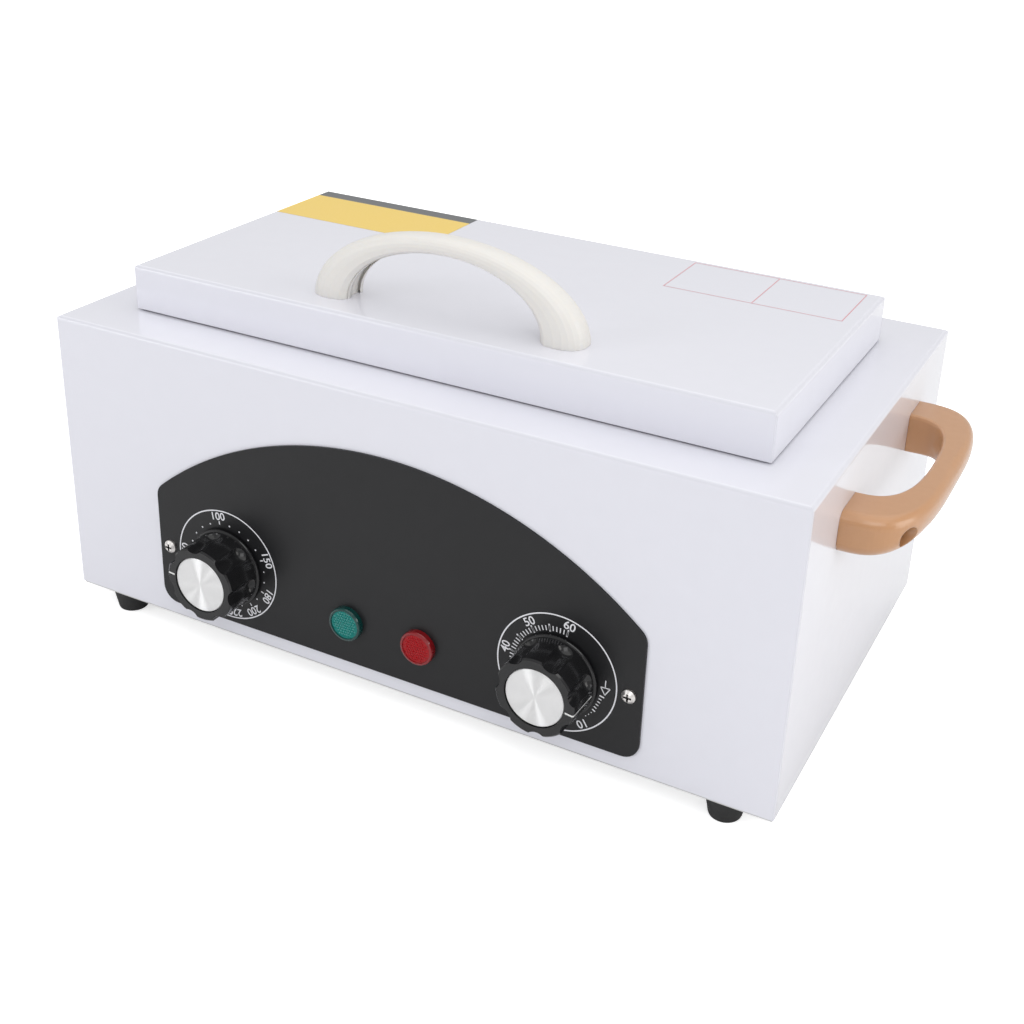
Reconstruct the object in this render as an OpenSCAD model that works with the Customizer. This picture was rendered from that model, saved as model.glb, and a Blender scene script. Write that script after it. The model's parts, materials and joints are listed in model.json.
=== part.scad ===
// Bench dry heat sterilizer with a hinged lid, two dials and two carrying handles.
// The origin is on the table, under the middle of the outline. +X is to the right
// of someone facing the dials, +Y is to the rear and +Z is up.

/* [Body] */
// Width of the folded steel body
body_w = 360; // [340:5:400]
// Depth of the body, front to back
body_d = 213; // [205:1:240]
// Height of the body, from the base plate's underside to the top sheet
body_h = 141; // [136:1:160]
// Thickness of the body and lid sheet
sheet_t = 1; // [0.8:0.1:1.2]
// Outside radius of the folded top edges
fold_r = 2; // [1.5:0.5:3]
// Outside radius of the upright corners
corner_r = 0.8; // [0.5:0.1:1.2]
// Width of the turned-in flange along the body's lower edge
flange_w = 13; // [11:1:16]
// Width of the seam line beside each upright corner
seam_w = 0.3; // [0.2:0.1:0.5]

/* [Chamber] */
// Distance from the lid's edges to the drawn steel chamber's walls
lid_over = 14; // [12.5:0.5:15]
// Height of the space under the chamber, for the controls and wiring
under_h = 51; // [48:1:56]
// Radius of the chamber's upright corners
chamber_r = 18; // [15:1:24]
// Radius between the chamber's floor and walls
floor_r = 6; // [4:0.5:7]
// Thickness of the chamber sheet
liner_t = 0.8; // [0.6:0.1:1]
// Width of the chamber's rim, which hangs on the top sheet
rim_w = 8; // [7:0.5:9]
// Thickness of the wool jacket round the chamber
jacket_t = 12; // [8:1:14]

/* [Lid] */
// Distance from the body's side faces to the lid's sides
lid_side = 25; // [22:0.5:27]
// Height of the lid's skirt
lid_h = 20.9; // [18:0.1:24]
// Distance from the body's front face to the lid's front face
lid_front = 26; // [24:0.5:28]
// Distance from the lid's rear face to the body's rear face
lid_rear = 32.5; // [30:0.5:35]
// Gap between the body's top sheet and the lid's lower edge
lid_gap = 0.8; // [0.8:0.1:1.5]
// Width of the silicone seal
seal_w = 5; // [4:0.5:6]
// Height of the silicone seal
seal_h = 5; // [4:0.5:6]

/* [Lid handle] */
// Half of the handle's length, outside
arch_out_w = 66.5; // [60:0.5:72]
// Height of the handle's crown above the lid
arch_out_h = 35.5; // [32:0.5:40]
// Half of the finger gap's length at the lid
arch_in_w = 47.5; // [44:0.5:50]
// Height of the finger gap
arch_in_h = 28; // [25:0.5:30]
// Width of the handle at its feet
arch_foot_w = 19; // [17:0.5:22]
// Width of the handle at its crown
arch_crown_w = 13.5; // [12:0.5:16]
// Distance from the lid's front face to the handle's middle
arch_front = 21.5; // [18:0.5:40]

/* [Side handles] */
// Half of a side handle's length, outside
grip_out_y = 65.5; // [60:0.5:72]
// Reach of a side handle from the body
grip_out_x = 31.5; // [29:0.5:36]
// Half of the finger gap's length at the body
grip_in_y = 43; // [38:0.5:45]
// Depth of the finger gap
grip_in_x = 20.5; // [18:0.5:21]
// Thickness of a side handle, top to bottom
grip_t = 18.5; // [17:0.5:21]
// Distance from the body's top down to a side handle's upper face
grip_drop = 20.5; // [18:0.5:26]

/* [Control panel] */
// Width of the black front panel
panel_w = 247.5; // [240:0.5:256]
// Height of the panel's crown above the body's lower edge
panel_top = 114.2; // [108:0.2:118]
// Height of the panel's lower edge above the body's lower edge
panel_foot = 7.8; // [4:0.2:9]
// Radius of the panel's arched top
panel_arch_r = 186; // [175:1:200]
// Radius of the panel's corners
panel_corner_r = 8; // [5:0.5:9]
// Thickness of the panel
panel_t = 1; // [0.8:0.1:1.5]
// Sideways place of the panel's middle
panel_x = -2.5; // [-4:0.5:4]
// Distance from the panel's side edges to the dials' middles
dial_in = 39; // [36:0.5:43]
// Height of the dials above the body's lower edge
dial_up = 37.2; // [34:0.2:39]
// Distance between the two lamps
lamp_pitch = 37.2; // [30:0.2:44]
// Height of the lamps above the body's lower edge
lamp_up = 28.5; // [24:0.5:34]

/* [Dial knobs] */
// Radius of a knob's grip
knob_r = 18; // [17:0.1:19]
// Height of a knob, front to back
knob_h = 19.2; // [17:0.1:22]
// Radius of the thin skirt at a knob's back
skirt_r = 19.2; // [19.1:0.1:21]
// Thickness of the skirt
skirt_t = 1.3; // [1:0.1:2]
// Number of finger scoops round a knob
scoop_count = 7; // [5:1:9]
// Depth of each scoop
scoop_d = 2.1; // [1.5:0.1:2.4]
// Radius of each scoop
scoop_r = 5.2; // [4.5:0.1:6]
// Radius of the spun metal cap
cap_r = 13.3; // [12:0.1:13.6]
// Depth of the cap's face below the knob's face
cap_sink = 0.6; // [0.3:0.1:0.8]
// Width of the pointer's groove
pointer_w = 0.9; // [0.6:0.1:1.4]
// Radius of a control's shaft
shaft_r = 3; // [2.5:0.1:3.2]
// Running clearance round a shaft
shaft_fit = 0.05; // [0.02:0.01:0.1]

/* [Lamps] */
// Radius of a lamp's rim
lamp_rim_r = 8.7; // [8.4:0.1:9.5]
// Radius of a lamp's lens
lens_r = 8; // [7.6:0.1:8.2]
// Height of a lens above the panel
lens_h = 5; // [4:0.2:6]
// Distance between the grooves that cut a lens into diamonds
lens_pitch = 2; // [1.6:0.1:2.6]

/* [Hinges] */
// Distance between the two hinges
hinge_pitch = 200; // [160:5:240]
// Length of a hinge
hinge_l = 36; // [30:1:40]
// Radius of a hinge's knuckles
knuckle_r = 3; // [2.8:0.1:3.2]
// Radius of a hinge's pin
pin_r = 1.5; // [1.2:0.1:1.7]
// Thickness of a hinge's leaves
leaf_t = 1.2; // [1:0.1:1.4]
// Running clearance round a hinge's pin
pin_fit = 0.06; // [0.03:0.01:0.1]

/* [Feet] */
// Height of a rubber foot
foot_h = 11; // [9:0.5:14]
// Radius of a foot where it meets the base
foot_top_r = 9.2; // [8:0.1:9.3]
// Radius of a foot where it stands
foot_low_r = 7.2; // [6.5:0.1:7.8]
// Distance from a foot's middle to the body's front or back face
foot_in_y = 9.8; // [9.6:0.1:11]
// Distance from a foot's middle to the body's side face
foot_in_x = 23; // [20:1:40]

/* [Instrument tray] */
// Gap between the tray's walls and the chamber's walls
tray_gap = 5; // [4:0.5:8]
// Distance from the chamber's rim down to the tray's upper edge
tray_down = 29; // [26:1:40]
// Thickness of the tray's sheet
tray_t = 1; // [0.8:0.1:1.2]
// Number of slots along the tray's floor
tray_cols = 14; // [8:1:16]
// Number of slots across the tray's floor
tray_rows = 2; // [1:1:4]

/* [Cord gland] */
// Radius of the hole for the mains lead
gland_bore_r = 3.7; // [3:0.1:4.2]
// Distance that the gland stands out behind the body
gland_reach = 12; // [10:0.5:14]
// Sideways place of the gland
gland_x = 120; // [100:5:130]
// Height of the gland above the body's lower edge
gland_up = 28; // [24:1:40]

/* [Hidden] */
$fn = 48;

// Small gaps and overlaps
seat_gap = 0.02;
apart = 0.3;
cut = 1;

// Fasteners: M4 pan heads, M4 countersunk heads and M3 hinge screws
m4_r = 2;
m4_hole_r = 2.2;
pan_head_r = 3.8;
pan_head_h = 2.6;
sink_head_r = 3.7;
sink_head_h = 1.9;
nut_r = 4;
nut_h = 3.2;
m3_r = 1.5;
m3_head_r = 2.6;
m3_head_h = 1.8;
m3_l = 4;
panel_head_r = 3.1;
panel_head_h = 2;
panel_screw_l = 6;
base_screw_l = 6;
control_screw_l = 7;
drive_w = 0.9;
drive_l = 3.6;
drive_d = 1.1;

// How far the knobs and the gland stand out set the body's place on Y
knob_gap = 0.8;
front_reach = panel_t + knob_gap + knob_h;
mid_y = (front_reach - gland_reach) / 2;
front_y = mid_y - body_d / 2;
back_y = mid_y + body_d / 2;
side_x = body_w / 2;
base_t = 1;
low_z = foot_h;
casing_z = low_z + base_t;
top_z = low_z + body_h;
casing_h = body_h - base_t;
base_inset = 0.5;

// Lid and chamber
lid_w = body_w - 2 * lid_side;
lid_d = body_d - lid_front - lid_rear;
lid_z = top_z + lid_gap;
lid_top = lid_z + lid_h;
lid_y = front_y + lid_front + lid_d / 2;
lid_back = lid_y + lid_d / 2;
chamber_w = lid_w - 2 * lid_over;
chamber_d = lid_d - 2 * lid_over;
chamber_h = body_h - under_h;
rim_z = top_z + liner_t;
seal_z = rim_z + apart;
seal_out = 6.5;
inner_panel_z = seal_z + seal_h;
inner_panel_h = 9.5;
chamber_floor = rim_z - chamber_h;
liner_low = chamber_floor - liner_t;
jacket_low = liner_low + liner_t + floor_r + 5;
opening_gap = 1;

// Front controls
panel_front = front_y - panel_t;
dial_z = low_z + dial_up;
lamp_z = low_z + lamp_up;
dial_pitch = panel_w - 2 * dial_in;
dial_xs = [panel_x - dial_pitch / 2, panel_x + dial_pitch / 2];
lamp_xs = [panel_x - lamp_pitch / 2, panel_x + lamp_pitch / 2];
panel_screw_in = 6;
panel_screw_z = dial_z + 1;
panel_screw_xs = [panel_x - panel_w / 2 + panel_screw_in, panel_x + panel_w / 2 - panel_screw_in];
knob_back = panel_front - knob_gap;
hub_cap = 5;
// where each pointer stands, counted from +X towards +Z
temperature_pointer = 174;
timer_pointer = -8;
bush_r = 5;
bush_hole_r = 5.2;
control_screw_x = 14;
control_plate_t = 2;
control_plate_w = 42;
control_plate_h = 16;
lamp_barrel_r = 7.2;
lamp_hole_r = 7.4;
lamp_barrel_l = 22;
wall_in = front_y + sheet_t;

// Hinge axis
hinge_y = lid_back + knuckle_r + apart;
hinge_z = top_z + knuckle_r + apart;
hinge_xs = [-hinge_pitch / 2, hinge_pitch / 2];
leaf_l = 13;
knuckle_l = hinge_l / 3;
leaf_screw_x = hinge_l / 2 - 7;

// Side handles
grip_top = top_z - grip_drop;
grip_z = grip_top - grip_t / 2;
grip_power = 2.8;
grip_outer_power = 3.3;
grip_full = 0.9;
grip_blend = 1.5;
grip_lift = 4;
grip_screw_y = (grip_out_y + grip_in_y) / 2 - 1;
grip_web = 7;
grip_bore_r = 4.4;
grip_steps = 48;
grip_edge_in = 1.6;
grip_edge_up = 5;
grip_edge_low = 6;
grip_low_w = 10;
grip_flat = 0.4;
grip_wall = 2.2;

// Lid handle
arch_y = front_y + lid_front + arch_front;
arch_screw_x = (arch_out_w + arch_in_w) / 2;
arch_screw_l = 9;
arch_steps = 48;
arch_channel = 1.4;

// Feet
foot_xs = [-side_x + foot_in_x, side_x - foot_in_x];
foot_ys = [front_y + foot_in_y, back_y - foot_in_y];
foot_edge_r = 1;
foot_recess_r = 4.3;
foot_recess_d = 5;

// Heater
element_r = 3.2;
element_runs = 4;
element_side = 24.25;
element_pitch = (chamber_d - 2 * element_side) / (element_runs - 1);
element_l = chamber_w - 2 * chamber_r - 24;
shield_h = 2 * element_r + 3;
shield_t = 0.8;
element_z = liner_low - element_r - seat_gap;

// Tray
tray_w = chamber_w - 2 * tray_gap;
tray_d = chamber_d - 2 * tray_gap;
tray_lift = 1;
tray_z = chamber_floor + tray_lift;
tray_h = chamber_h - tray_down - tray_lift;
tray_corner_r = chamber_r - tray_gap;
tray_foot_r = 2;
tray_slot_w = 9;
tray_bar = 6;
tray_wire_r = 1.5;

module rounded_rect(w, d, r) {
    square([w - 2 * r, d], center = true);
    square([w, d - 2 * r], center = true);
    for (x = [-1, 1], y = [-1, 1])
        translate([x * (w / 2 - r), y * (d / 2 - r)]) circle(r);
}

// A rectangle whose two upper corners are round, standing on the X axis
module rounded_top(w, h, r) {
    translate([-w / 2, 0]) square([w, h - r]);
    translate([r - w / 2, 0]) square([w - 2 * r, h]);
    for (x = [-1, 1])
        translate([x * (w / 2 - r), h - r]) circle(r);
}

// A box with round upper edges and round upright corners, as folded sheet has
module folded_box(w, d, h, edge, corner) {
    intersection() {
        translate([0, d / 2, 0]) rotate([90, 0, 0]) linear_extrude(d) rounded_top(w, h, edge);
        translate([-w / 2, 0, 0]) rotate([90, 0, 90]) linear_extrude(w) rounded_top(d, h, edge);
        linear_extrude(h) rounded_rect(w, d, corner);
    }
}

// Turns a shape that was drawn along +Z so that it points to the rear or to the front
module to_rear(x, y, z) {
    translate([x, y, z]) rotate([-90, 0, 0]) children();
}
module to_front(x, y, z) {
    translate([x, y, z]) rotate([90, 0, 0]) children();
}

// Side triangles of a shell that joins rings of points, and its two end faces
function ring_faces(rings, pts) = concat(
    [for (i = [0 : rings - 2], j = [0 : pts - 1])
        [i * pts + j, i * pts + (j + 1) % pts, (i + 1) * pts + j]],
    [for (i = [0 : rings - 2], j = [0 : pts - 1])
        [i * pts + (j + 1) % pts, (i + 1) * pts + (j + 1) % pts, (i + 1) * pts + j]],
    [[for (j = [0 : pts - 1]) pts - 1 - j]],
    [[for (j = [0 : pts - 1]) (rings - 1) * pts + j]]);

function signed_pow(v, p) = sign(v) * pow(abs(v), p);

// A shaft with one flat, standing on z = 0
module flatted_shaft(r, h) {
    difference() {
        cylinder(r = r, h = h);
        translate([r * 0.5, -r, -cut]) cube([r, 2 * r, h + 2 * cut]);
    }
}

// A cross recess in a screw's head, cut downwards from z = 0
module cross_recess() {
    for (a = [0, 90])
        rotate(a) translate([-drive_l / 2, -drive_w / 2, -drive_d])
            cube([drive_l, drive_w, drive_d + cut]);
}

// Screws point along -Z, with the underside of the head at z = 0
module pan_screw(r, head_r, head_h, l) {
    difference() {
        union() {
            translate([0, 0, -l]) cylinder(r = r, h = l);
            cylinder(r = head_r, h = head_h * 0.45);
            translate([0, 0, head_h * 0.45])
                cylinder(r1 = head_r, r2 = head_r * 0.6, h = head_h * 0.55, $fn = 40);
        }
        translate([0, 0, head_h]) cross_recess();
    }
}
module sink_screw(r, head_r, head_h, l) {
    difference() {
        union() {
            translate([0, 0, -l]) cylinder(r = r, h = l);
            translate([0, 0, -head_h]) cylinder(r1 = r, r2 = head_r, h = head_h);
        }
        cross_recess();
    }
}
module sink_hole(r, head_r, head_h, l) {
    translate([0, 0, -l]) cylinder(r = r, h = l + cut);
    translate([0, 0, -head_h]) cylinder(r1 = r, r2 = head_r, h = head_h);
    cylinder(r = head_r, h = cut);
}

module outer_casing() {
    inner_r = fold_r - sheet_t / 2;
    seam_z = casing_h - fold_r;
    color("white") difference() {
        translate([0, mid_y, casing_z]) folded_box(body_w, body_d, casing_h, fold_r, corner_r);
        // the hollow, which leaves a turned-in flange along the lower edge
        translate([0, mid_y, casing_z + sheet_t])
            folded_box(body_w - 2 * sheet_t, body_d - 2 * sheet_t, casing_h - 2 * sheet_t, inner_r, 0.4);
        translate([0, mid_y, casing_z - cut]) linear_extrude(2 * cut + sheet_t)
            square([body_w - 2 * flange_w, body_d - 2 * flange_w], center = true);
        // the mouth that the chamber hangs in
        translate([0, lid_y, top_z - 2 * sheet_t]) linear_extrude(3 * sheet_t)
            rounded_rect(chamber_w + 2 * (liner_t + opening_gap), chamber_d + 2 * (liner_t + opening_gap),
                chamber_r + liner_t + opening_gap);
        // seams beside the upright corners
        for (x = [-1, 1], y = [front_y + sheet_t, back_y - sheet_t - seam_w])
            translate([x * side_x - sheet_t / 2, y, casing_z - cut])
                cube([sheet_t, seam_w, seam_z + cut]);
        // front holes
        for (x = dial_xs) {
            to_rear(x, front_y - cut, dial_z) cylinder(r = bush_hole_r, h = 3 * cut);
            for (s = [-1, 1])
                to_rear(x + s * control_screw_x, front_y - cut, dial_z)
                    cylinder(r = m4_hole_r, h = 3 * cut);
        }
        for (x = lamp_xs)
            to_rear(x, front_y - cut, lamp_z) cylinder(r = lamp_hole_r, h = 3 * cut);
        for (x = panel_screw_xs)
            to_rear(x, front_y - cut, panel_screw_z) cylinder(r = m3_r + seat_gap, h = 3 * cut);
        // side handle holes
        for (y = [-1, 1])
            translate([-side_x - cut, mid_y + y * grip_screw_y, grip_z])
                rotate([0, 90, 0]) cylinder(r = m4_hole_r, h = body_w + 2 * cut);
        // gland hole
        to_rear(gland_x, back_y - 2 * cut, low_z + gland_up)
            cylinder(r = gland_neck_r + seat_gap, h = 3 * cut);
        // hinge screw holes
        for (x = hinge_xs, s = [-1, 1])
            translate([x + s * leaf_screw_x, hinge_y + leaf_screw_y, top_z - 2 * sheet_t])
                cylinder(r = m3_r + seat_gap, h = 3 * sheet_t);
        // foot and base screw holes
        for (x = foot_xs, y = foot_ys)
            translate([x, y, casing_z - cut]) cylinder(r = m4_hole_r, h = 3 * cut);
        for (p = base_screw_points)
            translate([p[0], p[1], casing_z - cut]) cylinder(r = m3_r + seat_gap, h = 3 * cut);
    }
}

base_screw_in = flange_w / 2;
base_screw_points = [[0, front_y + base_screw_in], [0, back_y - base_screw_in],
    [-side_x + base_screw_in, mid_y], [side_x - base_screw_in, mid_y]];
leaf_screw_y = 8.5;
gland_neck_r = 7;

module base_plate() {
    vent_w = 4;
    vent_l = 40;
    vent_pitch = 12;
    vent_count = 6;
    vent_y = mid_y + body_d / 4;
    color("silver") difference() {
        translate([0, mid_y, low_z]) linear_extrude(base_t)
            rounded_rect(body_w - 2 * base_inset, body_d - 2 * base_inset, corner_r);
        for (s = [-1, 1], i = [0 : vent_count - 1])
            translate([s * body_w / 5 + (i - (vent_count - 1) / 2) * vent_pitch, vent_y, low_z - cut])
                linear_extrude(base_t + 2 * cut) rounded_rect(vent_w, vent_l, vent_w / 2 - 0.1);
        for (x = foot_xs, y = foot_ys)
            translate([x, y, low_z - cut]) cylinder(r = m4_hole_r, h = base_t + 2 * cut);
        for (p = base_screw_points)
            translate([p[0], p[1], low_z - cut]) cylinder(r = m3_r + 0.2, h = base_t + 2 * cut);
    }
}

module base_screws() {
    color("silver") for (p = base_screw_points)
        translate([p[0], p[1], low_z]) rotate([180, 0, 0])
            pan_screw(m3_r, m3_head_r, m3_head_h, base_screw_l);
}

// A tapered rubber foot with a round lower edge and a recess for its screw
module foot(x, y) {
    color("dimgray") translate([x, y, 0]) difference() {
        rotate_extrude() {
            polygon([[0, 0], [foot_low_r - foot_edge_r, 0],
                [foot_low_r - foot_edge_r * 0.3, foot_edge_r * 0.3], [foot_low_r, foot_edge_r],
                [foot_top_r, foot_h], [0, foot_h]]);
        }
        translate([0, 0, -cut]) cylinder(r = foot_recess_r, h = foot_recess_d + cut);
        cylinder(r = m4_hole_r, h = foot_h + cut);
    }
}
module foot_front_left() { foot(foot_xs[0], foot_ys[0]); }
module foot_front_right() { foot(foot_xs[1], foot_ys[0]); }
module foot_rear_left() { foot(foot_xs[0], foot_ys[1]); }
module foot_rear_right() { foot(foot_xs[1], foot_ys[1]); }

// Each foot's screw, with its nut on the body's flange
module foot_screws() {
    shank = foot_h - foot_recess_d + base_t + sheet_t + nut_h;
    color("silver") for (x = foot_xs, y = foot_ys) {
        translate([x, y, foot_recess_d]) rotate([180, 0, 0])
            pan_screw(m4_r, pan_head_r, pan_head_h, shank);
        translate([x, y, casing_z + sheet_t]) difference() {
            cylinder(r = nut_r, h = nut_h, $fn = 6);
            translate([0, 0, -cut]) cylinder(r = m4_r + seat_gap, h = nut_h + 2 * cut);
        }
    }
}

// Points along an arc, and the panel's outline in X and Z: an arch between two upright sides
function arc(c, r, a0, a1, n) = [for (k = [0 : n])
    [c[0] + r * cos(a0 + (a1 - a0) * k / n), c[1] + r * sin(a0 + (a1 - a0) * k / n)]];

module panel_outline() {
    arch_z = panel_top - panel_arch_r;
    corner_x = panel_w / 2 - panel_corner_r;
    corner_z = arch_z + sqrt(pow(panel_arch_r - panel_corner_r, 2) - pow(corner_x, 2));
    lean = atan2(corner_x, corner_z - arch_z);
    low = panel_foot + panel_corner_r;
    step = lean / 32;
    translate([panel_x, low_z]) polygon(concat(
        arc([corner_x, low], panel_corner_r, -90, 0, 8),
        arc([corner_x, corner_z], panel_corner_r, 0, 90 - lean, 6),
        arc([0, arch_z], panel_arch_r, 90 - lean + step, 90 + lean - step, 62),
        arc([-corner_x, corner_z], panel_corner_r, 90 + lean, 180, 6),
        arc([-corner_x, low], panel_corner_r, 180, 270, 8)));
}

module control_panel() {
    color("dimgray") difference() {
        translate([0, front_y, 0]) rotate([90, 0, 0]) linear_extrude(panel_t) panel_outline();
        for (x = dial_xs) {
            to_rear(x, panel_front - cut, dial_z) cylinder(r = bush_hole_r, h = panel_t + 2 * cut);
            for (s = [-1, 1])
                to_front(x + s * control_screw_x, panel_front, dial_z)
                    sink_hole(m4_hole_r, sink_head_r + seat_gap, panel_t, panel_t + cut);
        }
        for (x = lamp_xs)
            to_rear(x, panel_front - cut, lamp_z) cylinder(r = lamp_hole_r, h = panel_t + 2 * cut);
        for (x = panel_screw_xs)
            to_rear(x, panel_front - cut, panel_screw_z)
                cylinder(r = m3_r + 0.2, h = panel_t + 2 * cut);
    }
}

module panel_screws() {
    color("silver") for (x = panel_screw_xs)
        to_front(x, panel_front, panel_screw_z)
            pan_screw(m3_r, panel_head_r, panel_head_h, panel_screw_l);
}

// A lamp's lens: a rim, a round boss and a face cut into small diamonds
module lens(x, tint) {
    rim_h = 1;
    edge = 0.8;
    groove_d = 0.7;
    rows = ceil(lens_r / lens_pitch);
    color(tint) to_front(x, panel_front, lamp_z) difference() {
        rotate_extrude() polygon([[0, 0], [lamp_rim_r, 0], [lamp_rim_r, rim_h * 0.6],
            [lamp_rim_r - 0.4, rim_h], [lens_r, rim_h], [lens_r - 0.3, lens_h - edge],
            [lens_r - 0.3 - edge, lens_h], [0, lens_h]]);
        intersection() {
            translate([0, 0, lens_h - groove_d]) cylinder(r = lens_r - 0.3 - edge, h = groove_d + cut);
            union() for (a = [45, -45], i = [-rows : rows])
                rotate(a) translate([(i + 0.5) * lens_pitch, 0, lens_h])
                    rotate([90, 0, 0]) translate([0, 0, -lens_r]) linear_extrude(2 * lens_r)
                        polygon([[-groove_d, 0.01], [groove_d, 0.01], [0, -groove_d]]);
        }
    }
}
module green_lens() { lens(lamp_xs[0], "seagreen"); }
module red_lens() { lens(lamp_xs[1], "crimson"); }

// A lamp's barrel behind the panel, with its clip ring and two tabs
module lamp_holder(x) {
    clip_r = lamp_barrel_r + 1.6;
    tab = [0.8, 4.8, 8];
    color("gray") to_rear(x, panel_front, lamp_z) {
        cylinder(r = lamp_barrel_r, h = lamp_barrel_l);
        translate([0, 0, panel_t + sheet_t]) cylinder(r = clip_r, h = 2);
        for (s = [-1, 1])
            translate([s * 3.5 - tab[0] / 2, -tab[1] / 2, lamp_barrel_l]) cube(tab);
    }
}
module green_lamp_holder() { lamp_holder(lamp_xs[0]); }
module red_lamp_holder() { lamp_holder(lamp_xs[1]); }

// The fixing plate and threaded bush that both controls share, drawn to the rear from the wall
module control_mount(x, bush_bore) {
    plate = [control_plate_w, control_plate_h, control_plate_t];
    to_rear(x, wall_in, dial_z) difference() {
        union() {
            translate([-plate[0] / 2, -plate[1] / 2, 0]) cube(plate);
            translate([0, 0, -panel_t - sheet_t]) cylinder(r = bush_r, h = panel_t + sheet_t + plate[2]);
        }
        translate([0, 0, -panel_t - sheet_t - cut])
            cylinder(r = bush_bore, h = panel_t + sheet_t + plate[2] + 2 * cut);
        for (s = [-1, 1])
            translate([s * control_screw_x, 0, -cut]) cylinder(r = m4_r + seat_gap, h = plate[2] + 2 * cut);
    }
}

shaft_in = 6;
cup_l = 18;

module thermostat() {
    cup_r = 15;
    color("silver") {
        control_mount(dial_xs[0], shaft_r + shaft_fit);
        to_rear(dial_xs[0], wall_in + control_plate_t, dial_z) difference() {
            union() {
                cylinder(r = cup_r, h = cup_l);
                for (s = [-1, 1])
                    translate([s * 8 - 3.2, -0.4, cup_l]) cube([6.4, 0.8, 8]);
            }
            translate([0, 0, -cut]) cylinder(r = shaft_r + shaft_fit, h = shaft_in + cut);
            for (s = [-1, 1])
                translate([s * control_screw_x, 0, -cut]) cylinder(r = m4_r + seat_gap, h = 5);
        }
    }
}

// The thermostat's sensing bulb on the chamber's front wall, and the fine tube that feeds it
module thermostat_bulb() {
    bulb_r = 2.4;
    bulb_l = 80;
    tube_r = 0.9;
    bulb_y = lid_y - chamber_d / 2 - liner_t - bulb_r - seat_gap;
    bulb_z = jacket_low - bulb_r - 0.1;
    bulb_x = dial_xs[0] + 30;
    start = [dial_xs[0], wall_in + control_plate_t + cup_l + 1.1 * tube_r + seat_gap, dial_z + 10];
    path = [start, start + [0, 4, 0], [bulb_x - 12, bulb_y, bulb_z], [bulb_x + 1, bulb_y, bulb_z]];
    color("peru") {
        translate([bulb_x, bulb_y, bulb_z]) rotate([0, 90, 0]) cylinder(r = bulb_r, h = bulb_l);
        for (i = [0 : len(path) - 2]) tube_between(path[i], path[i + 1], tube_r);
    }
}

// A straight round rod from one point to another, with a ball at its start
module tube_between(a, b, r) {
    d = b - a;
    l = norm(d);
    translate(a) rotate([0, acos(d[2] / l), atan2(d[1], d[0])]) cylinder(r = r, h = l);
    translate(a) sphere(r = r * 1.1, $fn = 24);
}

module timer() {
    timer_w = 44;
    timer_h = 40;
    timer_l = 24;
    box = [timer_w, timer_h, timer_l];
    color("gainsboro") {
        control_mount(dial_xs[1], shaft_r + shaft_fit);
        to_rear(dial_xs[1], wall_in + control_plate_t, dial_z) difference() {
            union() {
                translate([-box[0] / 2, -box[1] / 2, 0]) cube(box);
                translate([0, 0, box[2]]) cylinder(r = 7, h = 3);
                for (s = [-1, 1])
                    translate([s * 10 - 3.2, box[1] / 2 - 6, box[2]]) cube([6.4, 0.8, 7]);
            }
            translate([0, 0, -cut]) cylinder(r = shaft_r + shaft_fit, h = shaft_in + cut);
            for (s = [-1, 1])
                translate([s * control_screw_x, 0, -cut]) cylinder(r = m4_r + seat_gap, h = 5);
        }
    }
}

// A control's shaft, from inside the control to inside the knob's hub, with one long flat
module control_shaft(x, pointer) {
    flat_l = knob_h - hub_cap + knob_gap;
    shaft_l = flat_l + panel_t + sheet_t + control_plate_t + shaft_in - apart;
    color("silver") to_front(x, wall_in + control_plate_t + shaft_in - apart, dial_z)
        rotate(pointer) difference() {
            cylinder(r = shaft_r, h = shaft_l);
            translate([shaft_r * 0.5, -shaft_r, shaft_l - flat_l]) cube([shaft_r, 2 * shaft_r, flat_l + cut]);
        }
}
module thermostat_shaft() { control_shaft(dial_xs[0], temperature_pointer); }
module timer_shaft() { control_shaft(dial_xs[1], timer_pointer); }

module control_screws() {
    color("silver") for (x = dial_xs, s = [-1, 1])
        to_front(x + s * control_screw_x, panel_front, dial_z)
            sink_screw(m4_r, sink_head_r, panel_t, control_screw_l);
}

// A fluted knob on its own axis: z = 0 is the skirt's back and +Z is the front.
// The pointer lies along +X.
module knob_shape() {
    hub_r = 6;
    wall_r = knob_r - scoop_d - 1.6;
    back_r = knob_r + 0.3;
    chamfer = 0.7;
    hollow = knob_h - 4.5;
    recess = cap_sink + 1;
    scoop_from = skirt_t + 5.6;
    difference() {
        rotate_extrude($fn = 96) polygon([[hub_r, 0.6], [hub_r, hollow], [wall_r, hollow], [wall_r, 0],
            [skirt_r - 0.3, 0], [skirt_r, 0.3], [skirt_r, skirt_t - 0.3], [skirt_r - 0.3, skirt_t],
            [back_r, skirt_t + 0.2],
            [knob_r, knob_h - chamfer], [knob_r - chamfer, knob_h], [cap_r + 0.3, knob_h],
            [cap_r + 0.3, knob_h - recess], [0, knob_h - recess], [0, 0.6]]);
        for (i = [0 : scoop_count - 1])
            rotate((i + 0.5) * 360 / scoop_count)
            translate([knob_r - scoop_d + scoop_r, 0, scoop_from]) {
                cylinder(r = scoop_r, h = knob_h);
                sphere(r = scoop_r);
            }
        translate([0, 0, -cut]) flatted_shaft(shaft_r + seat_gap, knob_h - hub_cap + cut);
        // the pointer's groove, over the face and down the side
        translate([cap_r + 0.8, -pointer_w / 2, knob_h - 0.4]) cube([knob_r, pointer_w, 1]);
        translate([knob_r - 0.25, -pointer_w / 2, skirt_t + 1]) cube([1, pointer_w, knob_h]);
    }
}
module knob_cap_shape() {
    cap_t = 1;
    edge = 0.25;
    translate([0, 0, knob_h - cap_sink - cap_t])
        rotate_extrude($fn = 96)
            polygon([[0, 0], [cap_r, 0], [cap_r, cap_t - edge], [cap_r - edge, cap_t], [0, cap_t]]);
}

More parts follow.
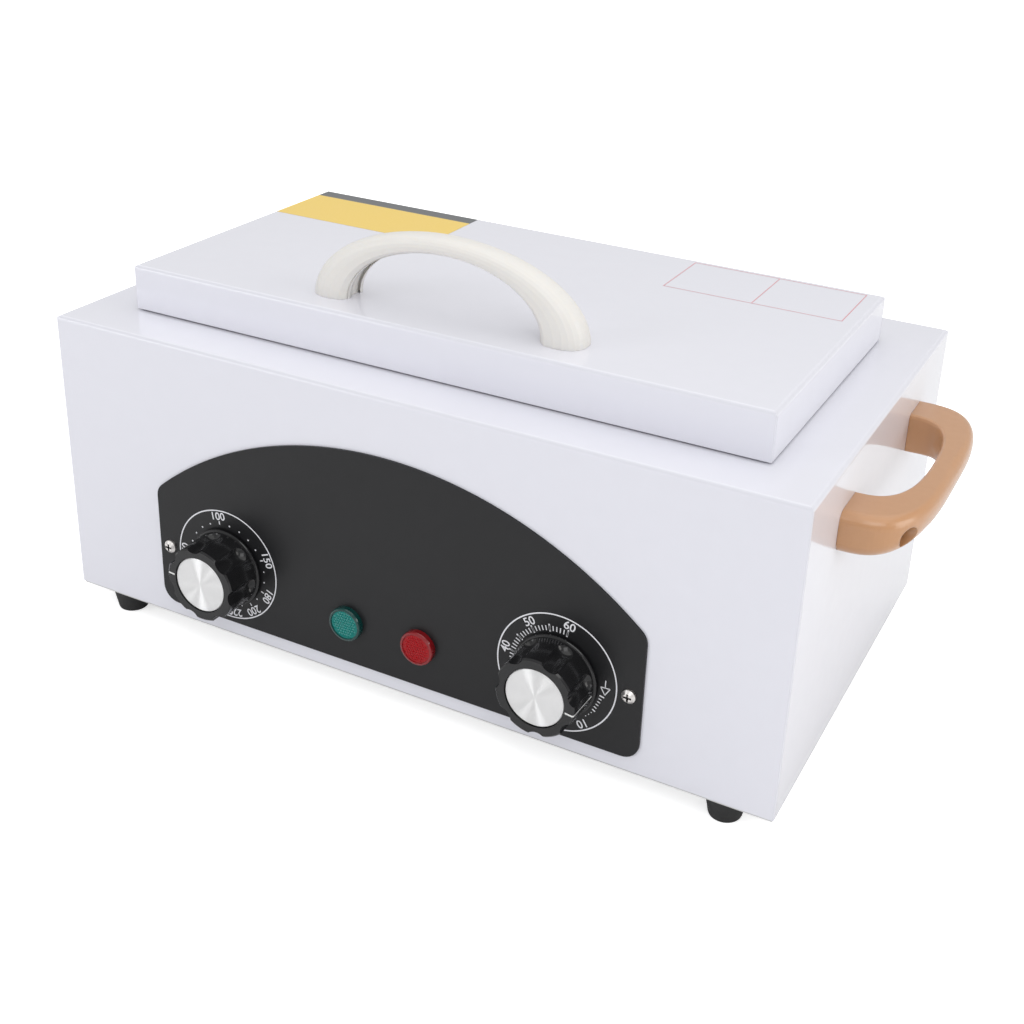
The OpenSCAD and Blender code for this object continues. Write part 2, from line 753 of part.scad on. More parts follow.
module temperature_knob() {
    color("dimgray") to_front(dial_xs[0], knob_back, dial_z) rotate(temperature_pointer) knob_shape();
}
module temperature_knob_cap() {
    color("silver") to_front(dial_xs[0], knob_back, dial_z) knob_cap_shape();
}
module timer_knob() {
    color("dimgray") to_front(dial_xs[1], knob_back, dial_z) rotate(timer_pointer) knob_shape();
}
module timer_knob_cap() {
    color("silver") to_front(dial_xs[1], knob_back, dial_z) knob_cap_shape();
}

// A deep drawn pan, with round upright corners and a round lower edge
module drawn_pan(w, d, h, corner, edge) {
    translate([0, 0, edge]) linear_extrude(h - edge) rounded_rect(w, d, corner);
    linear_extrude(edge + seat_gap) rounded_rect(w - 2 * edge, d - 2 * edge, corner - edge);
    for (s = [-1, 1]) {
        translate([corner - w / 2, s * (d / 2 - edge), edge]) rotate([0, 90, 0])
            cylinder(r = edge, h = w - 2 * corner);
        translate([s * (w / 2 - edge), corner - d / 2, edge]) rotate([-90, 0, 0])
            cylinder(r = edge, h = d - 2 * corner);
    }
    for (x = [-1, 1], y = [-1, 1])
        translate([x * (w / 2 - corner), y * (d / 2 - corner), edge])
            rotate_extrude($fn = 64) translate([corner - edge, 0]) circle(edge, $fn = 32);
}

module chamber_liner() {
    color("silver") translate([0, lid_y, 0]) difference() {
        union() {
            translate([0, 0, liner_low]) drawn_pan(chamber_w + 2 * liner_t, chamber_d + 2 * liner_t,
                top_z - liner_low, chamber_r + liner_t, floor_r + liner_t);
            translate([0, 0, top_z]) linear_extrude(liner_t)
                rounded_rect(chamber_w + 2 * rim_w, chamber_d + 2 * rim_w, chamber_r + rim_w);
        }
        translate([0, 0, chamber_floor])
            drawn_pan(chamber_w, chamber_d, chamber_h + cut, chamber_r, floor_r);
    }
}

module insulation_jacket() {
    jacket_h = top_z - sheet_t - jacket_low;
    inner = liner_t + seat_gap;
    color("khaki") translate([0, lid_y, jacket_low]) linear_extrude(jacket_h - seat_gap) difference() {
        rounded_rect(chamber_w + 2 * (liner_t + jacket_t), chamber_d + 2 * (liner_t + jacket_t),
            chamber_r + liner_t + jacket_t);
        rounded_rect(chamber_w + 2 * inner, chamber_d + 2 * inner, chamber_r + inner);
    }
}

// The tubular element winds to and fro under the chamber floor
module heating_element() {
    first = -(element_runs - 1) / 2 * element_pitch;
    lead = 18;
    color("dimgray") translate([0, lid_y, element_z]) {
        for (i = [0 : element_runs - 1])
            translate([-element_l / 2, first + i * element_pitch, 0]) rotate([0, 90, 0])
                cylinder(r = element_r, h = element_l);
        for (i = [0 : element_runs - 2])
            translate([(i % 2 == 0 ? 1 : -1) * element_l / 2, first + (i + 0.5) * element_pitch, 0])
                rotate(i % 2 == 0 ? -90 : 90) rotate_extrude(angle = 180, $fn = 48)
                    translate([element_pitch / 2, 0]) circle(element_r, $fn = 32);
        for (i = [0, element_runs - 1])
            translate([-element_l / 2 - lead, first + i * element_pitch, 0]) rotate([0, 90, 0])
                cylinder(r = 1.2, h = lead);
    }
}

// A shallow tray under the element that turns its heat upwards
module heat_shield() {
    shield_w = chamber_w - 2 * (floor_r + 2);
    shield_d = chamber_d - 2 * (floor_r + 2);
    color("gainsboro") translate([0, lid_y, liner_low - shield_h]) difference() {
        linear_extrude(shield_h) rounded_rect(shield_w, shield_d, 4);
        translate([0, 0, shield_t]) linear_extrude(shield_h)
            rounded_rect(shield_w - 2 * shield_t, shield_d - 2 * shield_t, 4 - shield_t);
    }
}

// A tray with plain walls, round corners and a pierced floor on four small feet
module instrument_tray() {
    slot_pitch_x = (tray_w - 2 * tray_bar) / tray_cols;
    slot_pitch_y = (tray_d - 2 * tray_bar) / tray_rows;
    slot_mid_x = (tray_cols - 1) / 2;
    slot_mid_y = (tray_rows - 1) / 2;
    color("silver") translate([0, lid_y, tray_z]) {
        linear_extrude(tray_t) difference() {
            rounded_rect(tray_w, tray_d, tray_corner_r);
            for (i = [0 : tray_cols - 1], j = [0 : tray_rows - 1])
                translate([(i - slot_mid_x) * slot_pitch_x, (j - slot_mid_y) * slot_pitch_y])
                    rounded_rect(tray_slot_w, slot_pitch_y - tray_bar, 3);
        }
        linear_extrude(tray_h) difference() {
            rounded_rect(tray_w, tray_d, tray_corner_r);
            rounded_rect(tray_w - 2 * tray_t, tray_d - 2 * tray_t, tray_corner_r - tray_t);
        }
        for (x = [-1, 1], y = [-1, 1])
            translate([x * (tray_w / 2 - 2 * tray_bar), y * (tray_d / 2 - tray_bar), -tray_lift])
                cylinder(r = tray_foot_r, h = tray_lift);
    }
}

// Two wire loops that stand up from the tray's short walls
module tray_handles() {
    loop_w = 60;
    loop_h = 18;
    bend = 6;
    seat_z = tray_z + tray_h - 8;
    up = 8 + loop_h - bend;
    color("silver") for (s = [-1, 1])
        translate([s * (tray_w / 2 - tray_t - tray_wire_r - seat_gap), lid_y, seat_z]) {
            for (y = [-1, 1]) {
                translate([0, y * loop_w / 2, 0]) cylinder(r = tray_wire_r, h = up);
                translate([0, y * (loop_w / 2 - bend), up])
                    rotate([0, 0, y > 0 ? 90 : -90]) rotate([90, 0, 0])
                        rotate_extrude(angle = 90, $fn = 48)
                            translate([bend, 0]) circle(tray_wire_r, $fn = 24);
            }
            translate([0, -loop_w / 2 + bend, up + bend]) rotate([-90, 0, 0])
                cylinder(r = tray_wire_r, h = loop_w - 2 * bend);
        }
}

// One point on a side handle's outer or inner outline
function grip_point(a, x, y, n) = [x * pow(abs(cos(a)), 2 / n), y * signed_pow(sin(a), 2 / n)];

// The handle's section at one place: small round edges inside and large ones outside.
// From the ends to the middle of the bar, its share goes from 0 to 1, and with it the
// underside rises and the lower outer edge grows rounder.
function grip_share(a) = pow(min(1, abs(cos(a)) / grip_full), grip_blend);
function grip_corner(u, z, rw, rz, a0, a1, n) = [for (k = [0 : n])
    [u + rw * cos(a0 + (a1 - a0) * k / n), z + rz * sin(a0 + (a1 - a0) * k / n)]];
function grip_section(w, share) = let(
    low = grip_lift * share - grip_t / 2,
    high = grip_t / 2,
    most = grip_t - grip_lift - grip_edge_up - grip_flat,
    rz = grip_edge_low + (most - grip_edge_low) * share,
    rw = min(w - grip_wall, grip_edge_low + (grip_low_w - grip_edge_low) * share)) concat(
    grip_corner(grip_edge_in, low + grip_edge_in, grip_edge_in, grip_edge_in, 180, 270, 2),
    grip_corner(w - rw, low + rz, rw, rz, 270, 360, 8),
    grip_corner(w - grip_edge_up, high - grip_edge_up, grip_edge_up, grip_edge_up, 0, 90, 6),
    grip_corner(grip_edge_in, high - grip_edge_in, grip_edge_in, grip_edge_in, 90, 180, 2));
function grip_ring(a) = let(
    p = grip_point(a, grip_in_x, grip_in_y, grip_power),
    q = grip_point(a, grip_out_x, grip_out_y, grip_outer_power),
    w = norm(q - p))
    [for (s = grip_section(w, grip_share(a)))
        [p[0] + (q[0] - p[0]) * s[0] / w, p[1] + (q[1] - p[1]) * s[0] / w, s[1]]];

module side_handle() {
    rings = [for (i = [0 : grip_steps]) grip_ring(-90 + 180 * i / grip_steps)];
    pts = len(rings[0]);
    difference() {
        polyhedron([for (ring = rings) each ring], ring_faces(grip_steps + 1, pts));
        for (s = [-1, 1]) translate([-cut, s * grip_screw_y, 0]) rotate([0, 90, 0]) {
            cylinder(r = m4_hole_r, h = grip_out_x);
            translate([0, 0, grip_web + cut]) cylinder(r = grip_bore_r, h = grip_out_x);
        }
    }
}
module side_handle_right() {
    color("tan") translate([side_x, mid_y, grip_z]) side_handle();
}
module side_handle_left() {
    color("tan") translate([-side_x, mid_y, grip_z]) mirror([1, 0, 0]) side_handle();
}

module side_handle_screws() {
    shank = grip_web + sheet_t + nut_h;
    color("silver") for (s = [-1, 1], y = [-1, 1])
        translate([s * (side_x + grip_web), mid_y + y * grip_screw_y, grip_z])
            rotate([0, s * 90, 0]) pan_screw(m4_r, pan_head_r, pan_head_h, shank);
}
module side_handle_nuts() {
    color("silver") for (s = [-1, 1], y = [-1, 1])
        translate([s * (side_x - sheet_t), mid_y + y * grip_screw_y, grip_z])
            rotate([0, -s * 90, 0]) difference() {
                cylinder(r = nut_r, h = nut_h, $fn = 6);
                translate([0, 0, -cut]) cylinder(r = m4_r + seat_gap, h = nut_h + 2 * cut);
            }
}

// A moulded bush that holds the mains lead where it enters the rear wall
module cord_gland() {
    collar_t = 2.5;
    collar_r = 10;
    latch_t = 2.5;
    nose_r = 6;
    color("dimgray") to_rear(gland_x, back_y, low_z + gland_up) difference() {
        rotate_extrude() polygon([[0, -sheet_t - latch_t], [gland_neck_r + 1.6, -sheet_t - latch_t],
            [gland_neck_r + 1.6, -sheet_t], [gland_neck_r, -sheet_t], [gland_neck_r, 0], [collar_r, 0],
            [collar_r, collar_t - 0.5], [collar_r - 0.5, collar_t], [gland_neck_r, collar_t],
            [nose_r, gland_reach], [0, gland_reach]]);
        translate([0, 0, -sheet_t - latch_t - cut])
            cylinder(r = gland_bore_r, h = gland_reach + sheet_t + latch_t + 2 * cut);
    }
}

module terminal_block() {
    block_w = 36;
    block_d = 18;
    block_h = 16;
    block_in = 60;
    block = [block_w, block_d, block_h];
    poles = 3;
    color("white") translate([gland_x - block_w / 2, back_y - block_in, low_z + base_t]) difference() {
        cube(block);
        for (i = [0 : poles - 1])
            translate([(i + 0.5) * block[0] / poles, block[1] / 2, block[2] - 6]) {
                cylinder(r = 3, h = 6 + cut);
                translate([0, -block[1] / 2 - cut, 1]) rotate([-90, 0, 0])
                    cylinder(r = 2, h = block[1] + 2 * cut);
            }
    }
}

module lid_shell() {
    color("white") difference() {
        translate([0, lid_y, lid_z]) folded_box(lid_w, lid_d, lid_h, fold_r, corner_r);
        translate([0, lid_y, lid_z - cut])
            folded_box(lid_w - 2 * sheet_t, lid_d - 2 * sheet_t, lid_h - sheet_t + cut,
                fold_r - sheet_t / 2, 0.4);
        for (x = [-1, 1], y = [lid_y - lid_d / 2 + sheet_t, lid_back - sheet_t - seam_w])
            translate([x * lid_w / 2 - sheet_t / 2, y, lid_z - cut])
                cube([sheet_t, seam_w, lid_h - fold_r + cut]);
        for (x = [-1, 1])
            translate([x * arch_screw_x, arch_y, lid_top - 2 * sheet_t])
                cylinder(r = m4_hole_r, h = 3 * sheet_t);
        for (x = hinge_xs, s = [-1, 1])
            to_rear(x + s * leaf_screw_x, lid_back - 2 * sheet_t, hinge_z + leaf_screw_z)
                cylinder(r = m3_r + seat_gap, h = 3 * sheet_t);
    }
}
leaf_screw_z = 8.5;

// A steel pan pressed inside the lid, open side up, so that it faces the chamber
module lid_inner_panel() {
    inner_w = lid_w - 2 * sheet_t - 2 * seat_gap;
    inner_d = lid_d - 2 * sheet_t - 2 * seat_gap;
    color("silver") translate([0, lid_y, inner_panel_z]) difference() {
        linear_extrude(inner_panel_h) rounded_rect(inner_w, inner_d, 1);
        translate([0, 0, liner_t]) linear_extrude(inner_panel_h)
            rounded_rect(inner_w - 2 * liner_t, inner_d - 2 * liner_t, 0.6);
        for (x = hinge_xs, s = [-1, 1])
            translate([x + s * leaf_screw_x, inner_d / 2 - 2 * sheet_t,
                hinge_z + leaf_screw_z - inner_panel_z])
                rotate([-90, 0, 0]) cylinder(r = m3_r + 0.3, h = 4 * sheet_t);
    }
}

module lid_insulation() {
    pad_w = lid_w - 2 * (sheet_t + liner_t) - 8;
    pad_d = lid_d - 2 * (sheet_t + liner_t) - 8;
    pad_z = inner_panel_z + liner_t;
    pad_h = lid_top - sheet_t - pad_z;
    color("khaki") difference() {
        translate([0, lid_y, pad_z]) linear_extrude(pad_h) rounded_rect(pad_w, pad_d, 4);
        for (x = [-1, 1])
            translate([x * arch_screw_x, arch_y, pad_z - cut])
                cylinder(r = pan_head_r + 2, h = pad_h + 2 * cut);
    }
}

module lid_seal() {
    color("dimgray") translate([0, lid_y, seal_z]) linear_extrude(seal_h) difference() {
        rounded_rect(chamber_w + 2 * seal_out, chamber_d + 2 * seal_out, chamber_r + seal_out);
        rounded_rect(chamber_w + 2 * (seal_out - seal_w), chamber_d + 2 * (seal_out - seal_w),
            chamber_r + seal_out - seal_w);
    }
}

// The lid handle is an elliptic arch. Its section has a round back and a shallow channel
// towards the fingers, and it grows from a thin strap at the crown to full feet.
function arch_width(a) = arch_crown_w + (arch_foot_w - arch_crown_w) * pow(1 - sin(a), 1.2);
function arch_section(w, t) = let(hip = t * 0.4, half = w / 2, lip = half * 0.62) concat(
    [for (b = [0 : 15 : 180]) [half * signed_pow(cos(b), 0.82), hip + (t - hip) * pow(sin(b), 0.82)]],
    [for (b = [210, 240, 262]) [half * signed_pow(cos(b), 0.5), hip + hip * signed_pow(sin(b), 0.7)]],
    [[-lip, 0], [-lip + 0.4, arch_channel], [lip - 0.4, arch_channel], [lip, 0]],
    [for (b = [278, 300, 330]) [half * signed_pow(cos(b), 0.5), hip + hip * signed_pow(sin(b), 0.7)]]);
function arch_ring(a) = let(
    p = [arch_in_w * cos(a), arch_in_h * sin(a)],
    q = [arch_out_w * cos(a), arch_out_h * sin(a)],
    t = norm(q - p))
    [for (s = arch_section(arch_width(a), t))
        [p[0] + (q[0] - p[0]) * s[1] / t, s[0], p[1] + (q[1] - p[1]) * s[1] / t]];

module lid_handle() {
    rings = [for (i = [0 : arch_steps]) arch_ring(180 * i / arch_steps)];
    pts = len(rings[0]);
    color("ivory") translate([0, arch_y, lid_top]) difference() {
        polyhedron([for (ring = rings) each ring], ring_faces(arch_steps + 1, pts));
        for (x = [-1, 1])
            translate([x * arch_screw_x, 0, -cut])
                cylinder(r = m4_r + seat_gap, h = arch_screw_l + 1 + cut);
    }
}

module lid_handle_screws() {
    color("silver") for (x = [-1, 1])
        translate([x * arch_screw_x, arch_y, lid_top - sheet_t]) rotate([180, 0, 0])
            pan_screw(m4_r, pan_head_r, pan_head_h, arch_screw_l + sheet_t);
}

// Lower hinge leaf: two end knuckles and a flat leaf on the top sheet
module hinge_lower(x) {
    color("silver") difference() {
        union() {
            for (s = [-1, 1])
                translate([x + s * knuckle_l - knuckle_l / 2 + (s > 0 ? apart / 2 : 0), hinge_y, hinge_z])
                    rotate([0, 90, 0]) cylinder(r = knuckle_r, h = knuckle_l - apart / 2);
            difference() {
                translate([x - hinge_l / 2, hinge_y, top_z]) cube([hinge_l, leaf_l, leaf_t]);
                translate([x - knuckle_l / 2 - apart / 2, hinge_y - cut, top_z - cut])
                    cube([knuckle_l + apart, knuckle_r + apart + cut, leaf_t + 2 * cut]);
            }
            for (s = [-1, 1])
                translate([x + s * knuckle_l - knuckle_l / 2 + (s > 0 ? apart / 2 : 0),
                    hinge_y - knuckle_r * 0.5, top_z])
                    cube([knuckle_l - apart / 2, knuckle_r, leaf_t]);
        }
        translate([x - hinge_l, hinge_y, hinge_z]) rotate([0, 90, 0])
            cylinder(r = pin_r + seat_gap, h = 2 * hinge_l);
        for (s = [-1, 1])
            translate([x + s * leaf_screw_x, hinge_y + leaf_screw_y, top_z + leaf_t])
                sink_hole(m3_r + seat_gap, m3_head_r, leaf_t, leaf_t + cut);
    }
}
module hinge_lower_left() { hinge_lower(hinge_xs[0]); }
module hinge_lower_right() { hinge_lower(hinge_xs[1]); }

// Upper hinge leaf: one middle knuckle and a leaf against the lid's rear skirt
module hinge_upper(x) {
    leaf_from = knuckle_r + apart;
    leaf_to = lid_top - fold_r - hinge_z;
    color("silver") difference() {
        union() {
            translate([x - knuckle_l / 2 + apart / 2, hinge_y, hinge_z]) rotate([0, 90, 0])
                cylinder(r = knuckle_r, h = knuckle_l - apart);
            translate([x - hinge_l / 2, lid_back, hinge_z + leaf_from])
                cube([hinge_l, leaf_t, leaf_to - leaf_from]);
            translate([x - knuckle_l / 2 + apart / 2, lid_back, hinge_z])
                cube([knuckle_l - apart, leaf_t, leaf_from]);
            translate([x - knuckle_l / 2 + apart / 2, lid_back, hinge_z - leaf_t / 2])
                cube([knuckle_l - apart, knuckle_r, leaf_t]);
        }
        translate([x - hinge_l, hinge_y, hinge_z]) rotate([0, 90, 0])
            cylinder(r = pin_r + pin_fit, h = 2 * hinge_l);
        for (s = [-1, 1])
            to_rear(x + s * leaf_screw_x, lid_back + leaf_t, hinge_z + leaf_screw_z)
                sink_hole(m3_r + seat_gap, m3_head_r, leaf_t, leaf_t + cut);
    }
}
module hinge_upper_left() { hinge_upper(hinge_xs[0]); }
module hinge_upper_right() { hinge_upper(hinge_xs[1]); }

module hinge_pin(x) {
    head_t = 0.8;
    color("silver") translate([x - hinge_l / 2, hinge_y, hinge_z]) rotate([0, 90, 0]) {
        cylinder(r = pin_r, h = hinge_l);
        translate([0, 0, -head_t]) cylinder(r = pin_r + 0.7, h = head_t);
        translate([0, 0, hinge_l]) cylinder(r = pin_r + 0.7, h = head_t);
    }
}
module hinge_pin_left() { hinge_pin(hinge_xs[0]); }
module hinge_pin_right() { hinge_pin(hinge_xs[1]); }

// Screws through the lower leaves into the top sheet
module hinge_screws() {
    color("silver") for (x = hinge_xs, s = [-1, 1])
        translate([x + s * leaf_screw_x, hinge_y + leaf_screw_y, top_z + leaf_t])
            sink_screw(m3_r, m3_head_r, leaf_t, m3_l);
}

// Screws through the upper leaves into the lid
module lid_hinge_screws() {
    color("silver") for (x = hinge_xs, s = [-1, 1])
        to_rear(x + s * leaf_screw_x, lid_back + leaf_t, hinge_z + leaf_screw_z)
            sink_screw(m3_r, m3_head_r, leaf_t, m3_l);
}

outer_casing();
base_plate();
base_screws();
foot_front_left();
foot_front_right();
foot_rear_left();
foot_rear_right();
foot_screws();
control_panel();
panel_screws();
green_lens();
red_lens();
green_lamp_holder();
red_lamp_holder();
thermostat();
thermostat_bulb();
thermostat_shaft();
timer();
timer_shaft();
control_screws();
temperature_knob();
temperature_knob_cap();
timer_knob();
timer_knob_cap();
chamber_liner();
insulation_jacket();
heating_element();
heat_shield();
instrument_tray();
tray_handles();
side_handle_left();
side_handle_right();
side_handle_screws();
side_handle_nuts();
cord_gland();
terminal_block();
lid_shell();
lid_inner_panel();
lid_insulation();
lid_seal();
lid_handle();
lid_handle_screws();
hinge_lower_left();
hinge_lower_right();
hinge_upper_left();
hinge_upper_right();
hinge_pin_left();
hinge_pin_right();
hinge_screws();
lid_hinge_screws();
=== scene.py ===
"""Finishes, printed dial marks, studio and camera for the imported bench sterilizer."""
import json
import logging
import math
from collections.abc import Mapping, Sequence
from dataclasses import dataclass, field
from enum import Enum

import bmesh
import bpy
from mathutils import Matrix, Vector


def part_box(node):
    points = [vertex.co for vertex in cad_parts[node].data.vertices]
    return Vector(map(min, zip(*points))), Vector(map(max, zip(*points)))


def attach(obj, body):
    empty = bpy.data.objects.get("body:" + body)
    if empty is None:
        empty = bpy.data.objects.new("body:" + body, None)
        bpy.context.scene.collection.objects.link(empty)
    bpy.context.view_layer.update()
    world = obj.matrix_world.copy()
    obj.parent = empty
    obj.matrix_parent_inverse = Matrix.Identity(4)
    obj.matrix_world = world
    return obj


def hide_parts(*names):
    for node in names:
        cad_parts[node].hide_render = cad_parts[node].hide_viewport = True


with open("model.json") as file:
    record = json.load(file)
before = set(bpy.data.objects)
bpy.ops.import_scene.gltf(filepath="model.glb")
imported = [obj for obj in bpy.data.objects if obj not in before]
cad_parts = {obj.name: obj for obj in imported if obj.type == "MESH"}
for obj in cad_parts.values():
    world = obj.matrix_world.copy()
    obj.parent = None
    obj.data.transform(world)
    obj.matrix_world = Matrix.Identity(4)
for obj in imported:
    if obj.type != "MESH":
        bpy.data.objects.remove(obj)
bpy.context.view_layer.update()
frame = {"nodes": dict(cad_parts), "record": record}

logging.basicConfig(level=logging.INFO, format="%(name)s: %(message)s")
LOG = logging.getLogger("sterilizer")
MM = 0.001
INK_LIFT = 0.05 * MM
WHITE = (1.0, 1.0, 1.0)
FINE_DEPTH = 0.2 * MM
FAINT_DEPTH = 0.1 * MM

Colour = tuple[float, float, float]
Point = tuple[float, float, float]
Socket = bpy.types.NodeSocket


class Body(Enum):
    """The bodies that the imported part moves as."""

    HOUSING = "housing"
    LID = "lid"
    TEMPERATURE = "temperature_control"
    TIMER = "timer_control"


class Grain(Enum):
    """Which way the fine lines of a brushed sheet run, as stretches of the pattern."""

    ALONG_X = (0.02, 1.0, 1.0)
    NONE = (1.0, 1.0, 1.0)


class Kind(Enum):
    """What a group's input or output carries."""

    WHOLE = "NodeSocketInt"
    NUMBER = "NodeSocketFloat"
    VECTOR = "NodeSocketVector"
    MATERIAL = "NodeSocketMaterial"
    GEOMETRY = "NodeSocketGeometry"


# Node tools


def rgba(colour: Colour) -> tuple[float, float, float, float]:
    """Return a colour with full alpha."""
    return (*colour, 1.0)


def scaled(colour: Colour, factor: float) -> Colour:
    """Return a colour made darker or lighter by one factor."""
    return tuple(min(1.0, channel * factor) for channel in colour)


@dataclass
class NodeTools:
    """Helpers that add nodes to one tree and fill their inputs."""

    tree: bpy.types.NodeTree

    def feed(self, target: Socket, value: object) -> None:
        """Link a socket to an input, or set the input's own value.

        Args:
            target: The input.
            value: The socket or the value.
        """
        if isinstance(value, bpy.types.NodeSocket):
            self.tree.links.new(value, target)
        else:
            target.default_value = value

    def node(self, kind: str, inputs: Mapping[str | int, object] | None = None, **settings: object) -> bpy.types.Node:
        """Add a node, set its properties and fill its inputs.

        Args:
            kind: The node's type.
            inputs: For an input's name or number, its value or the socket that feeds it.
            settings: Property names and values.

        Returns:
            The new node.
        """
        made = self.tree.nodes.new(kind)
        for key, value in settings.items():
            setattr(made, key, value)
        for key, value in (inputs or {}).items():
            self.feed(made.inputs[key], value)
        return made

    def maths(self, operation: str, *operands: object) -> Socket:
        """Work out one sum from sockets or numbers, and return its result."""
        return self.node("ShaderNodeMath", dict(enumerate(operands)), operation=operation).outputs[0]

    def vector_maths(self, operation: str, *operands: object) -> Socket:
        """Work out one sum of vectors, and return its result."""
        return self.node("ShaderNodeVectorMath", dict(enumerate(operands)), operation=operation).outputs[0]

    def spread(self, mask: Socket, low: float, high: float, span: tuple[float, float] = (0.0, 1.0)) -> Socket:
        """Map a mask onto a span of values.

        Args:
            mask: The socket that holds the mask.
            low: The value at the start of the mask's span.
            high: The value at its end.
            span: The part of the mask that is mapped.

        Returns:
            The mapped socket.
        """
        values = {"Value": mask, "From Min": span[0], "From Max": span[1], "To Min": low, "To Max": high}
        return self.node("ShaderNodeMapRange", values).outputs["Result"]

    def bump(self, height: Socket, strength: object, depth: object, under: Socket | None = None) -> Socket:
        """Raise a surface by a pattern.

        Args:
            height: The pattern.
            strength: How strongly it shows.
            depth: How deep it is, in metres.
            under: The normal that it is laid over, if it isn't the surface's own.

        Returns:
            The new normal.
        """
        values = {"Height": height, "Strength": strength, "Distance": depth}
        if under is not None:
            values["Normal"] = under
        return self.node("ShaderNodeBump", values).outputs["Normal"]


@dataclass
class NodeGroup(NodeTools):
    """A node group under construction, with named inputs and outputs."""

    tree: bpy.types.NodeTree = field(init=False)
    name: str
    inputs: Mapping[str, Kind]
    outputs: Mapping[str, Kind]
    family: str = "ShaderNodeTree"
    defaults: Mapping[str, object] = field(default_factory=dict)
    given: bpy.types.bpy_prop_collection = field(init=False)
    result: bpy.types.Node = field(init=False)

    def __post_init__(self) -> None:
        """Create the group with its sockets, and its own input and output nodes."""
        self.tree = bpy.data.node_groups.new(self.name, self.family)
        for way, sockets in (("INPUT", self.inputs), ("OUTPUT", self.outputs)):
            for name, kind in sockets.items():
                made = self.tree.interface.new_socket(name=name, in_out=way, socket_type=kind.value)
                if name in self.defaults:
                    made.default_value = self.defaults[name]
        self.given = self.node("NodeGroupInput").outputs
        self.result = self.node("NodeGroupOutput")

    def done(self, **sources: Socket) -> bpy.types.NodeTree:
        """Feed the group's outputs.

        Args:
            sources: For each output's name, the socket that feeds it.

        Returns:
            The finished group.
        """
        for name, source in sources.items():
            self.feed(self.result.inputs[name], source)
        return self.tree


def relief_group() -> bpy.types.NodeTree:
    """Build the group that turns stretched noise into a fine relief.

    Returns:
        The group, whose outputs are Normal and Height.
    """
    group = NodeGroup("fine_relief",
                      {"Vector": Kind.VECTOR, "Stretch": Kind.VECTOR, "Scale": Kind.NUMBER, "Detail": Kind.NUMBER,
                       "Strength": Kind.NUMBER, "Depth": Kind.NUMBER},
                      {"Normal": Kind.VECTOR, "Height": Kind.NUMBER},
                      defaults={"Stretch": (1.0, 1.0, 1.0), "Scale": 500.0, "Detail": 2.0, "Strength": 0.1,
                                "Depth": FINE_DEPTH})
    given = group.given
    noise = group.node("ShaderNodeTexNoise",
                       {"Vector": group.vector_maths("MULTIPLY", given["Vector"], given["Stretch"]),
                        "Scale": given["Scale"], "Detail": given["Detail"]}).outputs["Fac"]
    return group.done(Normal=group.bump(noise, given["Strength"], given["Depth"]), Height=noise)


def handling_group() -> bpy.types.NodeTree:
    """Build the group that gives the cloudy mask of wiping, dust and handling.

    Returns:
        The group, whose outputs are Mask and Fine.
    """
    group = NodeGroup("handling_marks", {"Vector": Kind.VECTOR, "Scale": Kind.NUMBER},
                      {"Mask": Kind.NUMBER, "Fine": Kind.NUMBER}, defaults={"Scale": 12.0})
    place, scale = group.given["Vector"], group.given["Scale"]
    finer, clouds = 17.0, (0.12, 0.42)
    wide = group.node("ShaderNodeTexNoise", {"Vector": place, "Scale": scale, "Detail": 4.0, "Distortion": 0.6})
    fine = group.node("ShaderNodeTexNoise",
                      {"Vector": place, "Scale": group.maths("MULTIPLY", scale, finer), "Detail": 6.0}).outputs["Fac"]
    both = group.maths("MULTIPLY", wide.outputs["Fac"], fine)
    return group.done(Mask=group.spread(both, 0.0, 1.0, clouds), Fine=fine)


def fold_group() -> bpy.types.NodeTree:
    """Build the group that finds folds from a face's normal, where the paint gets a painted shade.

    Returns:
        The group, whose output Fold is 1 between two flat sides and 0 on them.
    """
    group = NodeGroup("fold_mask", {"Vector": Kind.VECTOR}, {"Fold": Kind.NUMBER})
    flat, bent = 0.985, 0.82
    size = group.vector_maths("ABSOLUTE", group.given["Vector"])
    parts = group.node("ShaderNodeSeparateXYZ", {0: size}).outputs
    largest = group.maths("MAXIMUM", parts["Z"], group.maths("MAXIMUM", parts["X"], parts["Y"]))
    return group.done(Fold=group.spread(largest, 0.0, 1.0, (flat, bent)))


def turned_group() -> bpy.types.NodeTree:
    """Build the group for marks turned round an axis that runs along Y.

    Returns:
        The group, whose outputs are Height (the rings) and Tangent (across the rings).
    """
    group = NodeGroup("turned_rings", {"Vector": Kind.VECTOR, "Centre": Kind.VECTOR, "Pitch": Kind.NUMBER},
                      {"Height": Kind.NUMBER, "Tangent": Kind.VECTOR}, defaults={"Pitch": 9000.0})
    offset = group.vector_maths("SUBTRACT", group.given["Vector"], group.given["Centre"])
    flat = group.vector_maths("MULTIPLY", offset, (1.0, 0.0, 1.0))
    length = group.node("ShaderNodeVectorMath", {0: flat}, operation="LENGTH").outputs["Value"]
    rings = group.node("ShaderNodeTexNoise", {"W": length, "Scale": group.given["Pitch"], "Detail": 3.0},
                       noise_dimensions="1D")
    across = group.node("ShaderNodeVectorTransform", {0: group.vector_maths("NORMALIZE", flat)},
                        vector_type="VECTOR", convert_from="OBJECT", convert_to="WORLD")
    return group.done(Height=rings.outputs["Fac"], Tangent=across.outputs[0])


GROUPS: dict[str, bpy.types.NodeTree] = {}


def shared(name: str) -> bpy.types.NodeTree:
    """Look up a shared group, which is built the first time it is asked for.

    Args:
        name: The group's short name.

    Returns:
        The group.
    """
    makers = {"relief": relief_group, "handling": handling_group, "turned": turned_group, "fold": fold_group}
    if name not in GROUPS:
        GROUPS[name] = makers[name]()
    return GROUPS[name]


